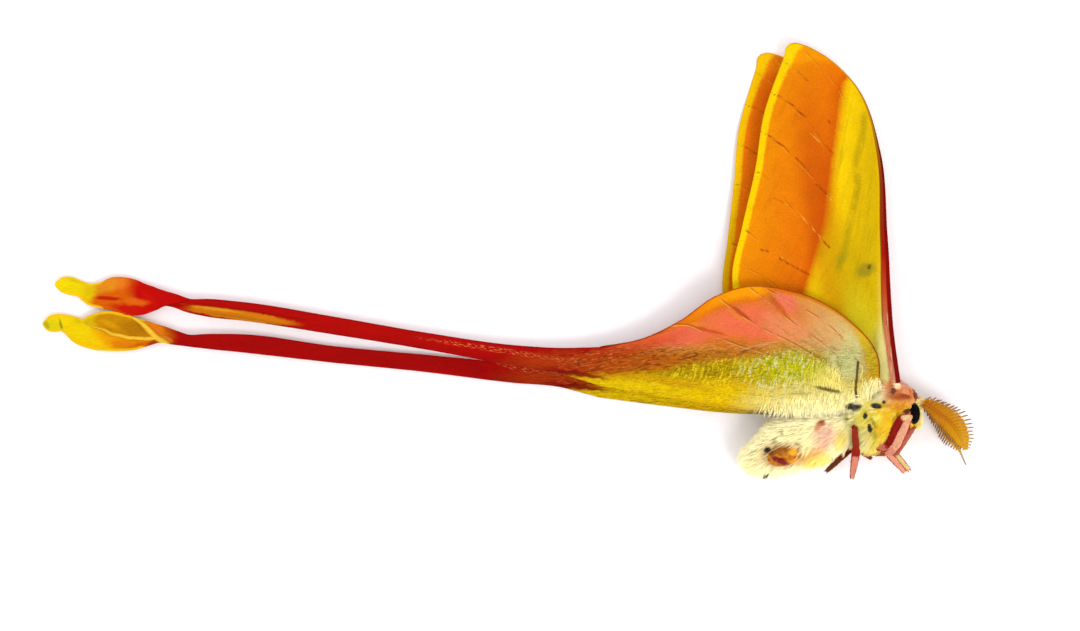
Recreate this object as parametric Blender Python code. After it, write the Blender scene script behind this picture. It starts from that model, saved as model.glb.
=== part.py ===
"""Male Chinese moon moth, life size, lying on its left side with its wings closed over its back.

Frame: +X runs from the tails to the head, +Y from the belly to the back, +Z from the left side, on which the
moth lies, to the right. The origin is the centre of the bounding box, at the level of the floor.
Every size below is in millimetres; MM turns it to metres where a mesh is made.
"""

import math
import random

import bmesh
import bpy
import numpy as np
from mathutils import Matrix, Vector
from mathutils.bvhtree import BVHTree

MM = 0.001

# What touching pieces keep between them, and the thinnest sheet.
GAP = 0.32
MEMBRANE = 0.5

# The body: the middle plane is MIDDLE above the floor.
MIDDLE = 4.2
CHEST_CENTRE = Vector((57.3, -24.7, MIDDLE))
CHEST_HALF = Vector((4.6, 4.6, 4.35))
COLLAR_CENTRE = Vector((61.2, -21.0, MIDDLE + 0.5))
COLLAR_HALF = Vector((2.3, 2.25, 2.9))
HEAD_CENTRE = Vector((62.6, -23.7, MIDDLE + 0.1))
HEAD_HALF = Vector((2.0, 2.5, 2.6))
EYE_OFFSET = Vector((0.65, -0.25, 2.1))
EYE_HALF = Vector((1.25, 1.65, 1.25))
PALP_ROOT = Vector((63.9, -25.2, MIDDLE + 0.1))
PALP_REACH = Vector((1.0, -1.3, 0))
PALP_SPREAD = 0.75

# Stations of the abdomen from its waist to its end: along X, height of the axis, half height, half width.
ABDOMEN = (
    (53.6, -26.0, 2.4, 2.6),
    (52.2, -26.3, 3.4, 3.7),
    (49.5, -27.0, 4.0, 4.3),
    (46.0, -27.9, 4.1, 4.35),
    (43.0, -28.8, 4.0, 4.35),
    (41.0, -29.4, 3.5, 4.0),
    (39.5, -29.9, 2.7, 3.2),
    (38.5, -30.3, 1.7, 2.1),
    (38.1, -30.5, 0.8, 1.0),
)

# Outlines of the right wings, seen from the right side.
FOREWING_COSTA = (
    (61.2, -19.0), (60.3, -12.0), (59.4, 4.0), (58.4, 16.9), (54.8, 27.1), (48.9, 32.6), (45.0, 34.0)
)
FOREWING_OUTER = (
    (45.0, 34.0), (43.6, 32.9), (42.4, 29.4), (40.3, 22.9),
    (38.9, 14.3), (36.7, 4.8), (35.2, -2.5), (35.4, -5.8),
)
FOREWING_INNER = ((57.4, -20.4), (50.0, -16.4), (42.0, -11.0), (35.4, -5.8))
FOREWING_VEINS = (0.07, 0.2, 0.33, 0.46, 0.6, 0.75, 0.9)
FOREWING_PIVOT = Vector((59.3, -19.2))
HINDWING_COSTA = ((57.9, -19.5), (57.6, -15.0), (52.6, -8.9), (47.6, -5.9), (42.0, -4.3))
HINDWING_OUTER = ((42.0, -4.3), (37.5, -4.1), (32.4, -5.7), (27.1, -9.4), (21.0, -12.3), (14.6, -13.5))
HINDWING_INNER = ((53.9, -22.9), (45.8, -23.5), (36.0, -22.5), (25.2, -20.4), (14.6, -18.4))
HINDWING_VEINS = (0.06, 0.19, 0.32, 0.46, 0.6, 0.76, 0.91)
HINDWING_PIVOT = Vector((55.5, -21.0))
TAIL_SHARE = 0.26

# The left wings lie under the right ones, each turned a little further back about its hinge.
LEFT_FOREWING_TURN = math.radians(4.7)
LEFT_HINDWING_TURN = math.radians(3.5)

# Height of each wing's middle surface: by the share of the way from hinge to tip in the forewings,
# and by X in the hindwings.
FOREWING_REACH = 53.0
FOREWING_HINGE_Y = -19.0
RIGHT_HINDWING_Z = ((60, 8.3), (50, 8.3), (42, 8.0), (35, 7.2), (25, 5.6), (14, 3.95), (5, 3.1), (-5, 2.75))
LEFT_HINDWING_Z = ((60, 0.47), (45, 0.45), (32, 0.5), (22, 0.7), (14, 0.85), (5, 0.9), (-5, 0.9))

VEIN_HEIGHT = 0.16
VEIN_FOOT = 0.45
WING_ROWS = 10

# Knuckles where the wings are hinged on the thorax: centre, half sizes.
KNUCKLES = {
    "forewing_right": ((59.1, -20.3, 6.85), (2.0, 1.4, 0.8)),
    "hindwing_right": ((54.9, -21.8, 7.5), (1.8, 1.4, 1.1)),
    "forewing_left": ((59.1, -20.3, 1.6), (2.0, 1.4, 0.8)),
    "hindwing_left": ((54.9, -21.8, 0.95), (1.8, 1.4, 0.9)),
}

# Courses of the tails, from the wing to the tip: x, y, z, half width, roll in degrees, cup.
RIGHT_TAIL = (
    (14.3, -15.95, 3.98, 2.4, 0, 0),
    (8.5, -15.6, 3.4, 1.9, 0, 0.1),
    (1.3, -14.8, 2.95, 1.45, 0, 0.2),
    (-12.9, -12.6, 2.6, 1.28, 0, 0.25),
    (-27.2, -10.3, 2.35, 1.3, 0, 0.25),
    (-41.6, -8.0, 2.2, 1.4, 0, 0.25),
    (-49.4, -6.9, 2.05, 1.05, 18, 0.1),
)
RIGHT_TAIL_END = (
    (-49.8, -6.85, 2.05, 1.03, 22, 0.1),
    (-51.8, -6.5, 2.0, 1.05, 90, 0),
    (-53.8, -6.25, 1.8, 1.45, 152, -0.1),
    (-56.2, -6.0, 1.45, 2.25, 176, -0.3),
    (-59.2, -5.6, 1.0, 2.8, 180, -0.6),
    (-62.6, -5.35, 0.6, 2.35, 180, -0.6),
    (-66.0, -4.8, 0.5, 1.6, 180, -0.4),
    (-68.7, -4.1, 0.6, 1.5, 180, -0.2),
    (-70.6, -3.7, 0.75, 0.7, 180, 0),
)
LEFT_TAIL = (
    (13.95, -18.45, 0.85, 2.4, 0, 0),
    (8.5, -18.35, 0.9, 1.8, 0, 0),
    (1.3, -17.7, 0.9, 1.55, 0, 0.05),
    (-12.9, -16.15, 0.95, 1.3, 0, 0.1),
    (-27.2, -14.75, 1.1, 1.25, 0, 0.15),
    (-41.6, -13.0, 1.5, 1.4, 0, 0.15),
    (-49.4, -12.6, 1.7, 1.0, -18, 0.1),
)
LEFT_TAIL_END = (
    (-49.8, -12.55, 1.7, 1.0, -22, 0.1),
    (-52.0, -12.2, 1.7, 1.1, -90, 0),
    (-54.4, -11.6, 1.6, 1.6, -150, -0.3),
    (-57.0, -11.5, 1.05, 2.4, -174, -0.9),
    (-60.3, -11.55, 0.45, 2.75, -180, -1.4),
    (-63.9, -11.35, 0.22, 2.85, -180, -1.4),
    (-66.8, -10.9, 0.25, 2.3, -180, -1.0),
    (-69.4, -10.3, 0.5, 1.55, -180, -0.5),
    (-71.2, -9.85, 0.75, 1.4, -180, -0.2),
    (-72.7, -9.8, 0.85, 0.7, -180, 0),
)
TAIL_ROWS = 18
TAIL_END_ROWS = 22
TAIL_ACROSS = 4

# Feelers: the course of each shaft from the head to its tip, and the half thickness along it.
RIGHT_FEELER = (
    (63.6, -22.0, 5.5), (65.0, -22.3, 6.3), (67.2, -23.8, 6.2),
    (69.1, -25.3, 5.9), (70.5, -27.2, 5.5), (71.6, -29.5, 5.1),
)
LEFT_FEELER = (
    (63.6, -22.0, 3.2), (65.0, -22.3, 2.6), (67.0, -23.9, 2.5),
    (68.8, -25.9, 2.3), (70.2, -28.4, 2.0), (71.9, -32.0, 1.6),
)
FEELER_HALF = (0.5, 0.42, 0.38, 0.35, 0.31, 0.16)
RAYS = 14
RAY_SPAN = (0.15, 0.94)
LEFT_RAY_SPAN = (0.15, 0.8)
RAY_LENGTH = 2.9
RAY_ANGLE = math.radians(62)
RAY_WIDTH = 0.5

# Fur in locks. Each is rooted in the body, and leaves out what would come within LOCK_ROOM of a neighbour.
LOCK_ROOT = 0.75
LOCK_ROOM = 0.42
CHEST_LOCKS = 130
COLLAR_LOCKS = 44
HEAD_LOCKS = 46
HEAD_FRONT = 0.35
ABDOMEN_RINGS = 7
ABDOMEN_LOCKS_AROUND = 11

# Legs: joints from the root in the thorax to the last claw, each with the half thickness there.
LEGS = {
    "foreleg_right": (((57.6, -28.6, 6.4), 0.9), ((58.9, -29.3, 7.7), 0.75), ((61.6, -24.7, 8.2), 0.65),
                      ((60.4, -30.0, 7.0), 0.6), ((61.7, -32.9, 5.4), 0.35)),
    "foreleg_left": (((57.6, -28.6, 2.0), 0.9), ((59.2, -29.8, 1.5), 0.75), ((63.0, -26.6, 1.3), 0.6),
                     ((61.5, -30.6, 1.9), 0.55), ((62.9, -32.7, 2.9), 0.35)),
    "midleg_right": (((55.9, -28.8, 5.6), 0.8), ((56.2, -30.3, 6.4), 0.6), ((53.9, -26.9, 8.6), 0.5),
                     ((54.3, -30.9, 7.0), 0.5), ((53.9, -33.8, 5.0), 0.32)),
    "midleg_left": (((56.4, -28.8, 3.0), 0.8), ((58.6, -30.9, 3.4), 0.6), ((55.9, -31.6, 2.2), 0.45),
                    ((54.6, -33.1, 0.7), 0.32)),
    "hindleg_right": (((54.7, -28.2, 4.4), 0.8), ((52.8, -31.4, 4.5), 0.5), ((50.4, -33.0, 3.6), 0.35)),
    "hindleg_left": (((55.2, -28.2, 2.2), 0.8), ((51.2, -31.7, 0.95), 0.5), ((45.5, -32.2, 0.6), 0.42),
                     ((40.6, -33.7, 0.45), 0.32)),
}

# Claws at the end of each foot, and the bare horny plate that shows at the end of the abdomen.
CLAW_LENGTH = 0.7
CLASPER_CENTRE = Vector((43.4, -30.4, 7.6))
CLASPER_HALF = Vector((2.6, 1.7, 1.5))

COLOURS = {
    "yellow_wing": (0.78, 0.62, 0.02, 0.6),
    "orange_wing": (0.8, 0.27, 0.01, 0.6),
    "red_tail": (0.5, 0.01, 0.005, 0.6),
    "yellow_tail": (0.8, 0.5, 0.01, 0.6),
    "cream_fur": (0.85, 0.75, 0.4, 0.9),
    "yellow_fur": (0.85, 0.66, 0.08, 0.9),
    "eye_black": (0.004, 0.004, 0.005, 0.15),
    "feeler_ochre": (0.6, 0.3, 0.01, 0.7),
    "leg_pink": (0.62, 0.16, 0.1, 0.7),
    "clasper_brown": (0.45, 0.16, 0.01, 0.4),
}


def material(name):
    """The colour of a part, with its roughness."""
    found = bpy.data.materials.get(name)
    if found:
        return found
    red, green, blue, rough = COLOURS[name]
    made = bpy.data.materials.new(name)
    made.use_nodes = True
    shader = made.node_tree.nodes["Principled BSDF"]
    shader.inputs["Base Color"].default_value = (red, green, blue, 1)
    shader.inputs["Roughness"].default_value = rough
    return made


def add_object(name, points, faces, colour):
    """A mesh object from points in millimetres."""
    mesh = bpy.data.meshes.new(name)
    mesh.from_pydata([tuple(c * MM for c in p) for p in points], [], faces)
    mesh.validate()
    made = bpy.data.objects.new(name, mesh)
    bpy.context.scene.collection.objects.link(made)
    mesh.materials.append(material(colour))
    mesh.shade_smooth()
    mesh.set_sharp_from_angle(angle=math.radians(40))
    return made


def through(points):
    """A smooth curve through the points, as a function of the share of its length from 0 to 1."""
    points = np.array(points, float)
    steps = np.linalg.norm(np.diff(points[:, :2], axis=0), axis=1)
    at = np.concatenate([[0.0], np.cumsum(steps)]) / steps.sum()
    slopes = np.gradient(points, at, axis=0)

    def curve(share):
        share = min(max(share, 0.0), 1.0)
        i = min(int(np.searchsorted(at, share, side="right")) - 1, len(at) - 2)
        width = at[i + 1] - at[i]
        u = (share - at[i]) / width
        return (
            (2 * u**3 - 3 * u**2 + 1) * points[i]
            + (u**3 - 2 * u**2 + u) * width * slopes[i]
            + (3 * u**2 - 2 * u**3) * points[i + 1]
            + (u**3 - u**2) * width * slopes[i + 1]
        )

    return curve


def height_by_x(stations):
    """Height as a smooth function of X, from (x, z) pairs in falling X."""
    x = np.array([s[0] for s in stations], float)[::-1]
    z = np.array([s[1] for s in stations], float)[::-1]
    slope = np.gradient(z, x)

    def height(at):
        at = min(max(at, x[0]), x[-1])
        i = min(int(np.searchsorted(x, at, side="right")) - 1, len(x) - 2)
        width = x[i + 1] - x[i]
        u = (at - x[i]) / width
        return (
            (2 * u**3 - 3 * u**2 + 1) * z[i]
            + (u**3 - 2 * u**2 + u) * width * slope[i]
            + (3 * u**2 - 2 * u**3) * z[i + 1]
            + (u**3 - u**2) * width * slope[i + 1]
        )

    return height


def smoothstep(low, high, value):
    u = min(max((value - low) / (high - low), 0.0), 1.0)
    return u * u * (3 - 2 * u)


def closed_sheet(name, upper, lower, colour):
    """A closed sheet between two grids of points, split into triangles alike on both faces."""
    rows, across = len(upper), len(upper[0])
    count = rows * across
    points = [p for row in upper for p in row] + [p for row in lower for p in row]
    faces = []
    for i in range(rows - 1):
        for j in range(across - 1):
            a, b = i * across + j, i * across + j + 1
            c, d = a + across + 1, a + across
            for tri in ((a, b, c), (a, c, d)):
                faces.append(tri)
                faces.append(tuple(count + k for k in reversed(tri)))
    rim = [j for j in range(across)]
    rim += [i * across + across - 1 for i in range(1, rows)]
    rim += [(rows - 1) * across + j for j in range(across - 2, -1, -1)]
    rim += [i * across for i in range(rows - 2, 0, -1)]
    for a, b in zip(rim, rim[1:] + rim[:1]):
        faces.append((b, a, count + a))
        faces.append((b, count + a, count + b))
    made = add_object(name, points, faces, colour)
    face_outwards(made)
    return made


def face_outwards(obj):
    """Turns the faces of a closed mesh out."""
    work = bmesh.new()
    work.from_mesh(obj.data)
    bmesh.ops.recalc_face_normals(work, faces=work.faces)
    work.to_mesh(obj.data)
    work.free()


def loft(name, rings, colour):
    """A closed body through rings of points, with flat ends."""
    count = len(rings[0])
    points = [p for ring in rings for p in ring]
    faces = []
    for i in range(len(rings) - 1):
        for j in range(count):
            k = (j + 1) % count
            faces.append((i * count + j, i * count + k, (i + 1) * count + k, (i + 1) * count + j))
    faces.append(tuple(range(count)))
    faces.append(tuple((len(rings) - 1) * count + j for j in reversed(range(count))))
    made = add_object(name, points, faces, colour)
    face_outwards(made)
    return made


def ellipsoid(name, centre, half, colour, grow=0.0, around=28, along=16):
    """A round body with its poles on Z."""
    work = bmesh.new()
    scale = Matrix.Diagonal((*(h + grow for h in half), 1))
    bmesh.ops.create_uvsphere(
        work, u_segments=around, v_segments=along, radius=1, matrix=Matrix.Translation(centre) @ scale
    )
    points = [v.co.copy() for v in work.verts]
    faces = [tuple(v.index for v in f.verts) for f in work.faces]
    work.free()
    made = add_object(name, points, faces, colour)
    face_outwards(made)
    return made


def capsule(name, start, end, start_half, end_half, colour, detail=2):
    """A tapered limb segment with round ends: the hull of a ball at each end."""
    ball = bmesh.new()
    bmesh.ops.create_icosphere(ball, subdivisions=detail, radius=1)
    unit = [v.co.copy() for v in ball.verts]
    ball.free()
    work = bmesh.new()
    for centre, half in ((start, start_half), (end, end_half)):
        for p in unit:
            work.verts.new(Vector(centre) + p * half)
    bmesh.ops.convex_hull(work, input=work.verts)
    bmesh.ops.delete(work, geom=[v for v in work.verts if not v.link_faces], context="VERTS")
    work.verts.index_update()
    points = [v.co.copy() for v in work.verts]
    faces = [tuple(v.index for v in f.verts) for f in work.faces]
    work.free()
    made = add_object(name, points, faces, colour)
    face_outwards(made)
    return made


def largest_surface(mesh):
    """Keeps only the largest closed surface of a mesh."""
    work = bmesh.new()
    work.from_mesh(mesh)
    left = set(work.verts)
    shells = []
    while left:
        front = [left.pop()]
        shell = set(front)
        while front:
            for edge in front.pop().link_edges:
                for v in edge.verts:
                    if v in left:
                        left.discard(v)
                        shell.add(v)
                        front.append(v)
        shells.append(shell)
    keep = max(shells, key=len)
    bmesh.ops.delete(work, geom=[v for v in work.verts if v not in keep], context="VERTS")
    work.to_mesh(mesh)
    work.free()


def combine(obj, others, operation):
    """Applies one Boolean with the other objects, and removes them."""
    group = bpy.data.collections.new("pieces")
    for other in others:
        group.objects.link(other)
    step = obj.modifiers.new("combine", "BOOLEAN")
    step.operation = operation
    step.operand_type = "COLLECTION"
    step.collection = group
    step.solver = "MANIFOLD"
    graph = bpy.context.evaluated_depsgraph_get()
    result = bpy.data.meshes.new_from_object(obj.evaluated_get(graph))
    obj.modifiers.clear()
    obj.data = result
    largest_surface(result)
    bpy.data.collections.remove(group)
    for other in others:
        bpy.data.objects.remove(other)


def chest_bodies(grow):
    """The chest and the collar before it."""
    return [
        ellipsoid("chest", CHEST_CENTRE, CHEST_HALF, "yellow_fur", grow, 20, 12),
        ellipsoid("collar", COLLAR_CENTRE, COLLAR_HALF, "yellow_fur", grow, 16, 10),
    ]


def abdomen_body(name, grow, around=18):
    rings = []
    for x, y, tall, wide in ABDOMEN:
        ring = []
        for k in range(around):
            angle = 2 * math.pi * k / around
            ring.append((x, y + (tall + grow) * math.cos(angle), MIDDLE + (wide + grow) * math.sin(angle)))
        rings.append(ring)
    rings[0] = [(p[0] + grow, p[1], p[2]) for p in rings[0]]
    rings[-1] = [(p[0] - grow, p[1], p[2]) for p in rings[-1]]
    return loft(name, rings, "cream_fur")


def head_body(name, grow):
    return ellipsoid(name, HEAD_CENTRE, HEAD_HALF, "yellow_fur", grow, 18, 12)


def eye_centre(side):
    return HEAD_CENTRE + Vector((EYE_OFFSET.x, EYE_OFFSET.y, side * EYE_OFFSET.z))


def eye_body(name, side, grow):
    return ellipsoid(name, eye_centre(side), EYE_HALF, "eye_black", grow, 16, 10)


def below_floor():
    """A block that fills everything under the floor, to cut the resting flats."""
    side, deep = 400.0, 10.0
    points = [
        (x * side, y * side, z) for z in (-deep, 0.0) for x, y in ((-1, -1), (1, -1), (1, 1), (-1, 1))
    ]
    faces = [(0, 3, 2, 1), (4, 5, 6, 7), (0, 1, 5, 4), (1, 2, 6, 5), (2, 3, 7, 6), (3, 0, 4, 7)]
    return add_object("below_floor", points, faces, "cream_fur")


def turned(points, pivot, angle):
    """Outline points turned about a pivot."""
    cos, sin = math.cos(angle), math.sin(angle)
    return [
        (
            pivot.x + (x - pivot.x) * cos - (y - pivot.y) * sin,
            pivot.y + (x - pivot.x) * sin + (y - pivot.y) * cos,
        )
        for x, y in points
    ]


def wing_patch(costa, outer, inner):
    """The surface between four edges: s runs from the hinge to the outer edge, t from costa to inner edge."""
    first, last = costa(0), inner(0)

    def point(s, t):
        along = (1 - t) * costa(s) + t * inner(s)
        across = (1 - s) * ((1 - t) * first + t * last) + s * outer(t)
        corners = (1 - s) * ((1 - t) * first + t * last) + s * ((1 - t) * costa(1) + t * inner(1))
        return along + across - corners

    return point


def spread(t, s):
    """Veins keep near the costa along the cell, and fan out beyond it."""
    return t ** (1 + 0.55 * math.sin(math.pi * min(s * 1.05, 1.0)))


def wing(name, patch, veins, height, colour):
    """A wing with its main veins raised on both faces. It reaches no lower than the floor."""
    upper, lower = [], []
    for i in range(WING_ROWS + 1):
        s = i / WING_ROWS
        chord = float(np.linalg.norm(patch(s, 1) - patch(s, 0)))
        lines = [(0.0, 0.5)]
        edges = [0.0] + [spread(t, s) for t in veins] + [1.0]
        for k in range(1, len(edges) - 1):
            room = min(edges[k] - edges[k - 1], edges[k + 1] - edges[k])
            foot = min(VEIN_FOOT / chord, 0.36 * room)
            lines += [(edges[k] - foot, 0.0), (edges[k], 1.0), (edges[k] + foot, 0.0)]
        lines.append((1.0, 0.0))
        top, bottom = [], []
        for t, ridge in lines:
            x, y = patch(s, t)[:2]
            z = max(height(x, y), MEMBRANE / 2)
            rise = VEIN_HEIGHT * ridge
            top.append((x, y, z + MEMBRANE / 2 + rise))
            bottom.append((x, y, max(z - MEMBRANE / 2 - rise, 0.0)))
        upper.append(top)
        lower.append(bottom)
    made = closed_sheet(name, upper, lower, colour)
    centre, half = KNUCKLES[name]
    combine(made, [ellipsoid("knuckle", Vector(centre), half, colour, 0, 16, 8)], "UNION")
    combine(made, chest_bodies(GAP), "DIFFERENCE")
    return made


def forewing_share(x, y):
    return min(max((y - FOREWING_HINGE_Y) / FOREWING_REACH, 0.0), 1.0)


def right_forewing_height(x, y):
    v = forewing_share(x, y)
    return 6.85 - 5.0 * v + 1.05 * v * v


def left_forewing_height(x, y):
    return 1.6 - 1.35 * smoothstep(0.4, 0.9, forewing_share(x, y))


def forewing(name, turn, height):
    outline = (FOREWING_COSTA, FOREWING_OUTER, FOREWING_INNER)
    edges = [through(turned(edge, FOREWING_PIVOT, turn)) for edge in outline]
    return wing(name, wing_patch(*edges), FOREWING_VEINS, height, "orange_wing")


def hindwing_outer(points):
    """The outer edge down to the tail, then straight across the root of the tail."""
    margin = through(points[:-1])
    corner, foot = np.array(points[-2], float), np.array(points[-1], float)

    def edge(t):
        if t <= 1 - TAIL_SHARE:
            return margin(t / (1 - TAIL_SHARE))
        return corner + (foot - corner) * (t - 1 + TAIL_SHARE) / TAIL_SHARE

    return edge


def hindwing(name, turn, height):
    costa, inner = (through(turned(e, HINDWING_PIVOT, turn)) for e in (HINDWING_COSTA, HINDWING_INNER))
    outer = hindwing_outer(turned(HINDWING_OUTER + (HINDWING_INNER[-1],), HINDWING_PIVOT, turn))
    return wing(name, wing_patch(costa, outer, inner), HINDWING_VEINS, height, "yellow_wing")


def ribbon(name, course, rows, colour):
    """A tail: a ribbon that follows its course, rolls about it, and has its edges raised by the cup."""
    curve = through(course)
    upper, lower = [], []
    for i in range(rows + 1):
        u = i / rows
        x, y, z, half, roll, cup = curve(u)
        ahead, behind = curve(min(u + 0.01, 1)), curve(max(u - 0.01, 0))
        along = Vector((ahead - behind)[:3]).normalized()
        side = Vector((0, 0, 1)).cross(along).normalized()
        normal = along.cross(side).normalized()
        turn = Matrix.Rotation(math.radians(roll), 3, along)
        side, normal = turn @ side, turn @ normal
        top, bottom = [], []
        for j in range(TAIL_ACROSS + 1):
            v = 2 * j / TAIL_ACROSS - 1
            lift = normal * (cup * v * v)
            lean = (normal - side * (2 * cup * v / half)).normalized()
            middle = Vector((x, y, z)) + side * (half * v) + lift
            top.append(middle + lean * MEMBRANE / 2)
            bottom.append(middle - lean * MEMBRANE / 2)
        upper.append(top)
        lower.append(bottom)
    for grid in (upper, lower):
        for row in grid:
            for p in row:
                p.z = max(p.z, 0.0)
    return closed_sheet(name, upper, lower, colour)


def blade(points, across, widths, thicks, colour):
    """A closed flat spike of four sides through its points, as wide as widths in the direction across."""
    rings = []
    for i, centre in enumerate(points):
        path = points[min(i + 1, len(points) - 1)] - points[max(i - 1, 0)]
        up = path.cross(across).normalized()
        side = across * (widths[i] / 2)
        lift = up * (thicks[i] / 2)
        rings.append([centre - side, centre + lift, centre + side, centre - lift])
    return loft("blade", rings, colour)


def feeler(name, course, span):
    """A feathered feeler: a tapered shaft with a row of thin branches down each side."""
    curve = through([(*p, h) for p, h in zip(course, FEELER_HALF)])
    rings = []
    rows, sides = 12, 6
    for i in range(rows + 1):
        x, y, z, half = curve(i / rows)
        along = Vector((curve(min((i + 0.2) / rows, 1)) - curve(max((i - 0.2) / rows, 0)))[:3]).normalized()
        side = Vector((0, 0, 1)).cross(along).normalized()
        up = along.cross(side)
        turns = [2 * math.pi * k / sides for k in range(sides)]
        rings.append([Vector((x, y, z)) + (side * math.cos(a) + up * math.sin(a)) * half for a in turns])
    shaft = loft(name, rings, "feeler_ochre")
    rays = []
    for direction in (-1, 1):
        for k in range(RAYS):
            u = span[0] + (span[1] - span[0]) * (k + 0.25 * (direction > 0)) / RAYS
            here = curve(u)
            along = Vector((curve(u + 0.02) - curve(u - 0.02))[:3]).normalized()
            side = Vector((0, 0, 1)).cross(along).normalized() * direction
            middle = (u - span[0]) / (span[1] - span[0])
            length = RAY_LENGTH * (1 - 0.62 * (2 * middle - 0.9) ** 2)
            out = side * math.sin(RAY_ANGLE) + along * math.cos(RAY_ANGLE)
            root = Vector(here[:3]) - side * 0.05
            points = [
                root,
                root + out * (length * 0.55),
                root + out * length + along * (length * 0.12) - Vector((0, 0, length * 0.05)),
            ]
            rays.append(blade(
                points, along, (RAY_WIDTH, RAY_WIDTH * 0.85, 0.2), (0.45, 0.42, 0.2), "feeler_ochre"
            ))
    combine(shaft, rays, "UNION")
    face = [head_body("cutter", GAP), eye_body("cutter", 1, GAP), eye_body("cutter", -1, GAP)]
    combine(shaft, [*face, *chest_bodies(GAP)], "DIFFERENCE")
    return shaft


def leg(name, joints):
    """A leg of straight tapered segments with two claws, fused at the knees and cut clear of the body."""
    segments = [capsule("segment", a[0], b[0], a[1], b[1], "leg_pink", 1) for a, b in zip(joints, joints[1:])]
    end, before = Vector(joints[-1][0]), Vector(joints[-2][0])
    along = (end - before).normalized()
    aside = along.orthogonal().normalized()
    for turn in (-1, 1):
        tip = end + (along + aside * (0.6 * turn)).normalized() * CLAW_LENGTH
        middle = end + along * (CLAW_LENGTH * 0.35) + aside * (0.32 * turn)
        points = [end - along * 0.1, middle, Vector((tip.x, tip.y, max(tip.z, 0.15)))]
        segments.append(blade(points, along.cross(aside), (0.3, 0.25, 0.1), (0.3, 0.25, 0.1), "leg_pink"))
    made = segments[0]
    made.name = name
    combine(made, segments[1:], "UNION")
    combine(made, chest_bodies(GAP), "DIFFERENCE")
    return made


def surface_tree(obj):
    """The surface of an object, for measuring how near a point in millimetres comes to it."""
    mesh = obj.data
    points = [v.co / MM for v in mesh.vertices]
    return BVHTree.FromPolygons(points, [tuple(f.vertices) for f in mesh.polygons])


def lock(root, normal, lie, length, width, colour):
    """One flat tapered lock of fur that leaves the body at its root and bends over along the lie."""
    across = normal.cross(lie).normalized()
    points = [
        root - normal * LOCK_ROOT - lie * (0.1 * length),
        root + normal * (0.14 * length) + lie * (0.3 * length),
        root + normal * (0.22 * length) + lie * (0.7 * length),
        root + normal * (0.16 * length) + lie * length,
    ]
    widths = (0.7 * width, width, 0.8 * width, 0.18)
    thicks = (0.55, 0.55, 0.42, 0.15)
    return points, across, widths, thicks, colour


def has_room(shape, neighbours):
    """Whether a lock stays clear of every neighbour and above the floor."""
    points, across, widths = shape[:3]
    for a, b, wide_a, wide_b in zip(points, points[1:], widths, widths[1:]):
        for u in (0.0, 0.5, 1.0):
            middle, half = a.lerp(b, u), (wide_a + (wide_b - wide_a) * u) / 2
            for p in (middle - across * half, middle, middle + across * half):
                if p.z < LOCK_ROOM:
                    return False
                if any(tree.find_nearest(p, LOCK_ROOM)[0] is not None for tree in neighbours):
                    return False
    return True


def even_directions(count):
    """Directions spread evenly over a ball."""
    golden = math.pi * (3 - math.sqrt(5))
    for k in range(count):
        z = 1 - 2 * (k + 0.5) / count
        ring = math.sqrt(1 - z * z)
        yield Vector((ring * math.cos(golden * k), ring * math.sin(golden * k), z))


def ball_locks(centre, half, count, flow, length, width, colour, draw, front=-1.0):
    """Locks over a round body, or over its front end alone, lying along the flow."""
    for d in even_directions(count):
        if d.x < front:
            continue
        root = centre + Vector((d.x * half.x, d.y * half.y, d.z * half.z))
        normal = Vector((d.x / half.x, d.y / half.y, d.z / half.z)).normalized()
        lie = flow + Vector((0, draw.uniform(-0.25, 0.25), draw.uniform(-0.25, 0.25)))
        lie -= normal * lie.dot(normal)
        size = draw.uniform(0.85, 1.15)
        if lie.length > 0.3:
            yield lock(root, normal, lie.normalized(), length * size, width * size, colour)


def abdomen_locks(draw):
    """Rings of locks down the abdomen, each a half step round from the last."""
    stations = through(ABDOMEN)
    for i in range(ABDOMEN_RINGS):
        u = 0.12 + 0.8 * i / (ABDOMEN_RINGS - 1)
        x, y, tall, wide = stations(u)
        slope = (stations(min(u + 0.02, 1)) - stations(max(u - 0.02, 0)))[:3]
        for k in range(ABDOMEN_LOCKS_AROUND):
            angle = 2 * math.pi * (k + 0.5 * (i % 2) + draw.uniform(-0.15, 0.15)) / ABDOMEN_LOCKS_AROUND
            root = Vector((x, y + tall * math.cos(angle), MIDDLE + wide * math.sin(angle)))
            fall = Vector((slope[0], slope[1] + slope[2] * math.cos(angle), slope[2] * math.sin(angle)))
            lie = fall.normalized()
            radial = Vector((0, math.cos(angle) / tall, math.sin(angle) / wide)).normalized()
            normal = (radial - lie * radial.dot(lie)).normalized()
            size = draw.uniform(0.85, 1.15)
            yield lock(root, normal, lie, 3.5 * size, 1.8 * size, "cream_fur")


def grow_fur(obj, shapes, others):
    """Fuses to a body those locks that have room between its neighbours."""
    trees = [surface_tree(other) for other in others]
    locks = [blade(*shape) for shape in shapes if has_room(shape, trees)]
    combine(obj, locks, "UNION")
    combine(obj, [below_floor()], "DIFFERENCE")


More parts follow.
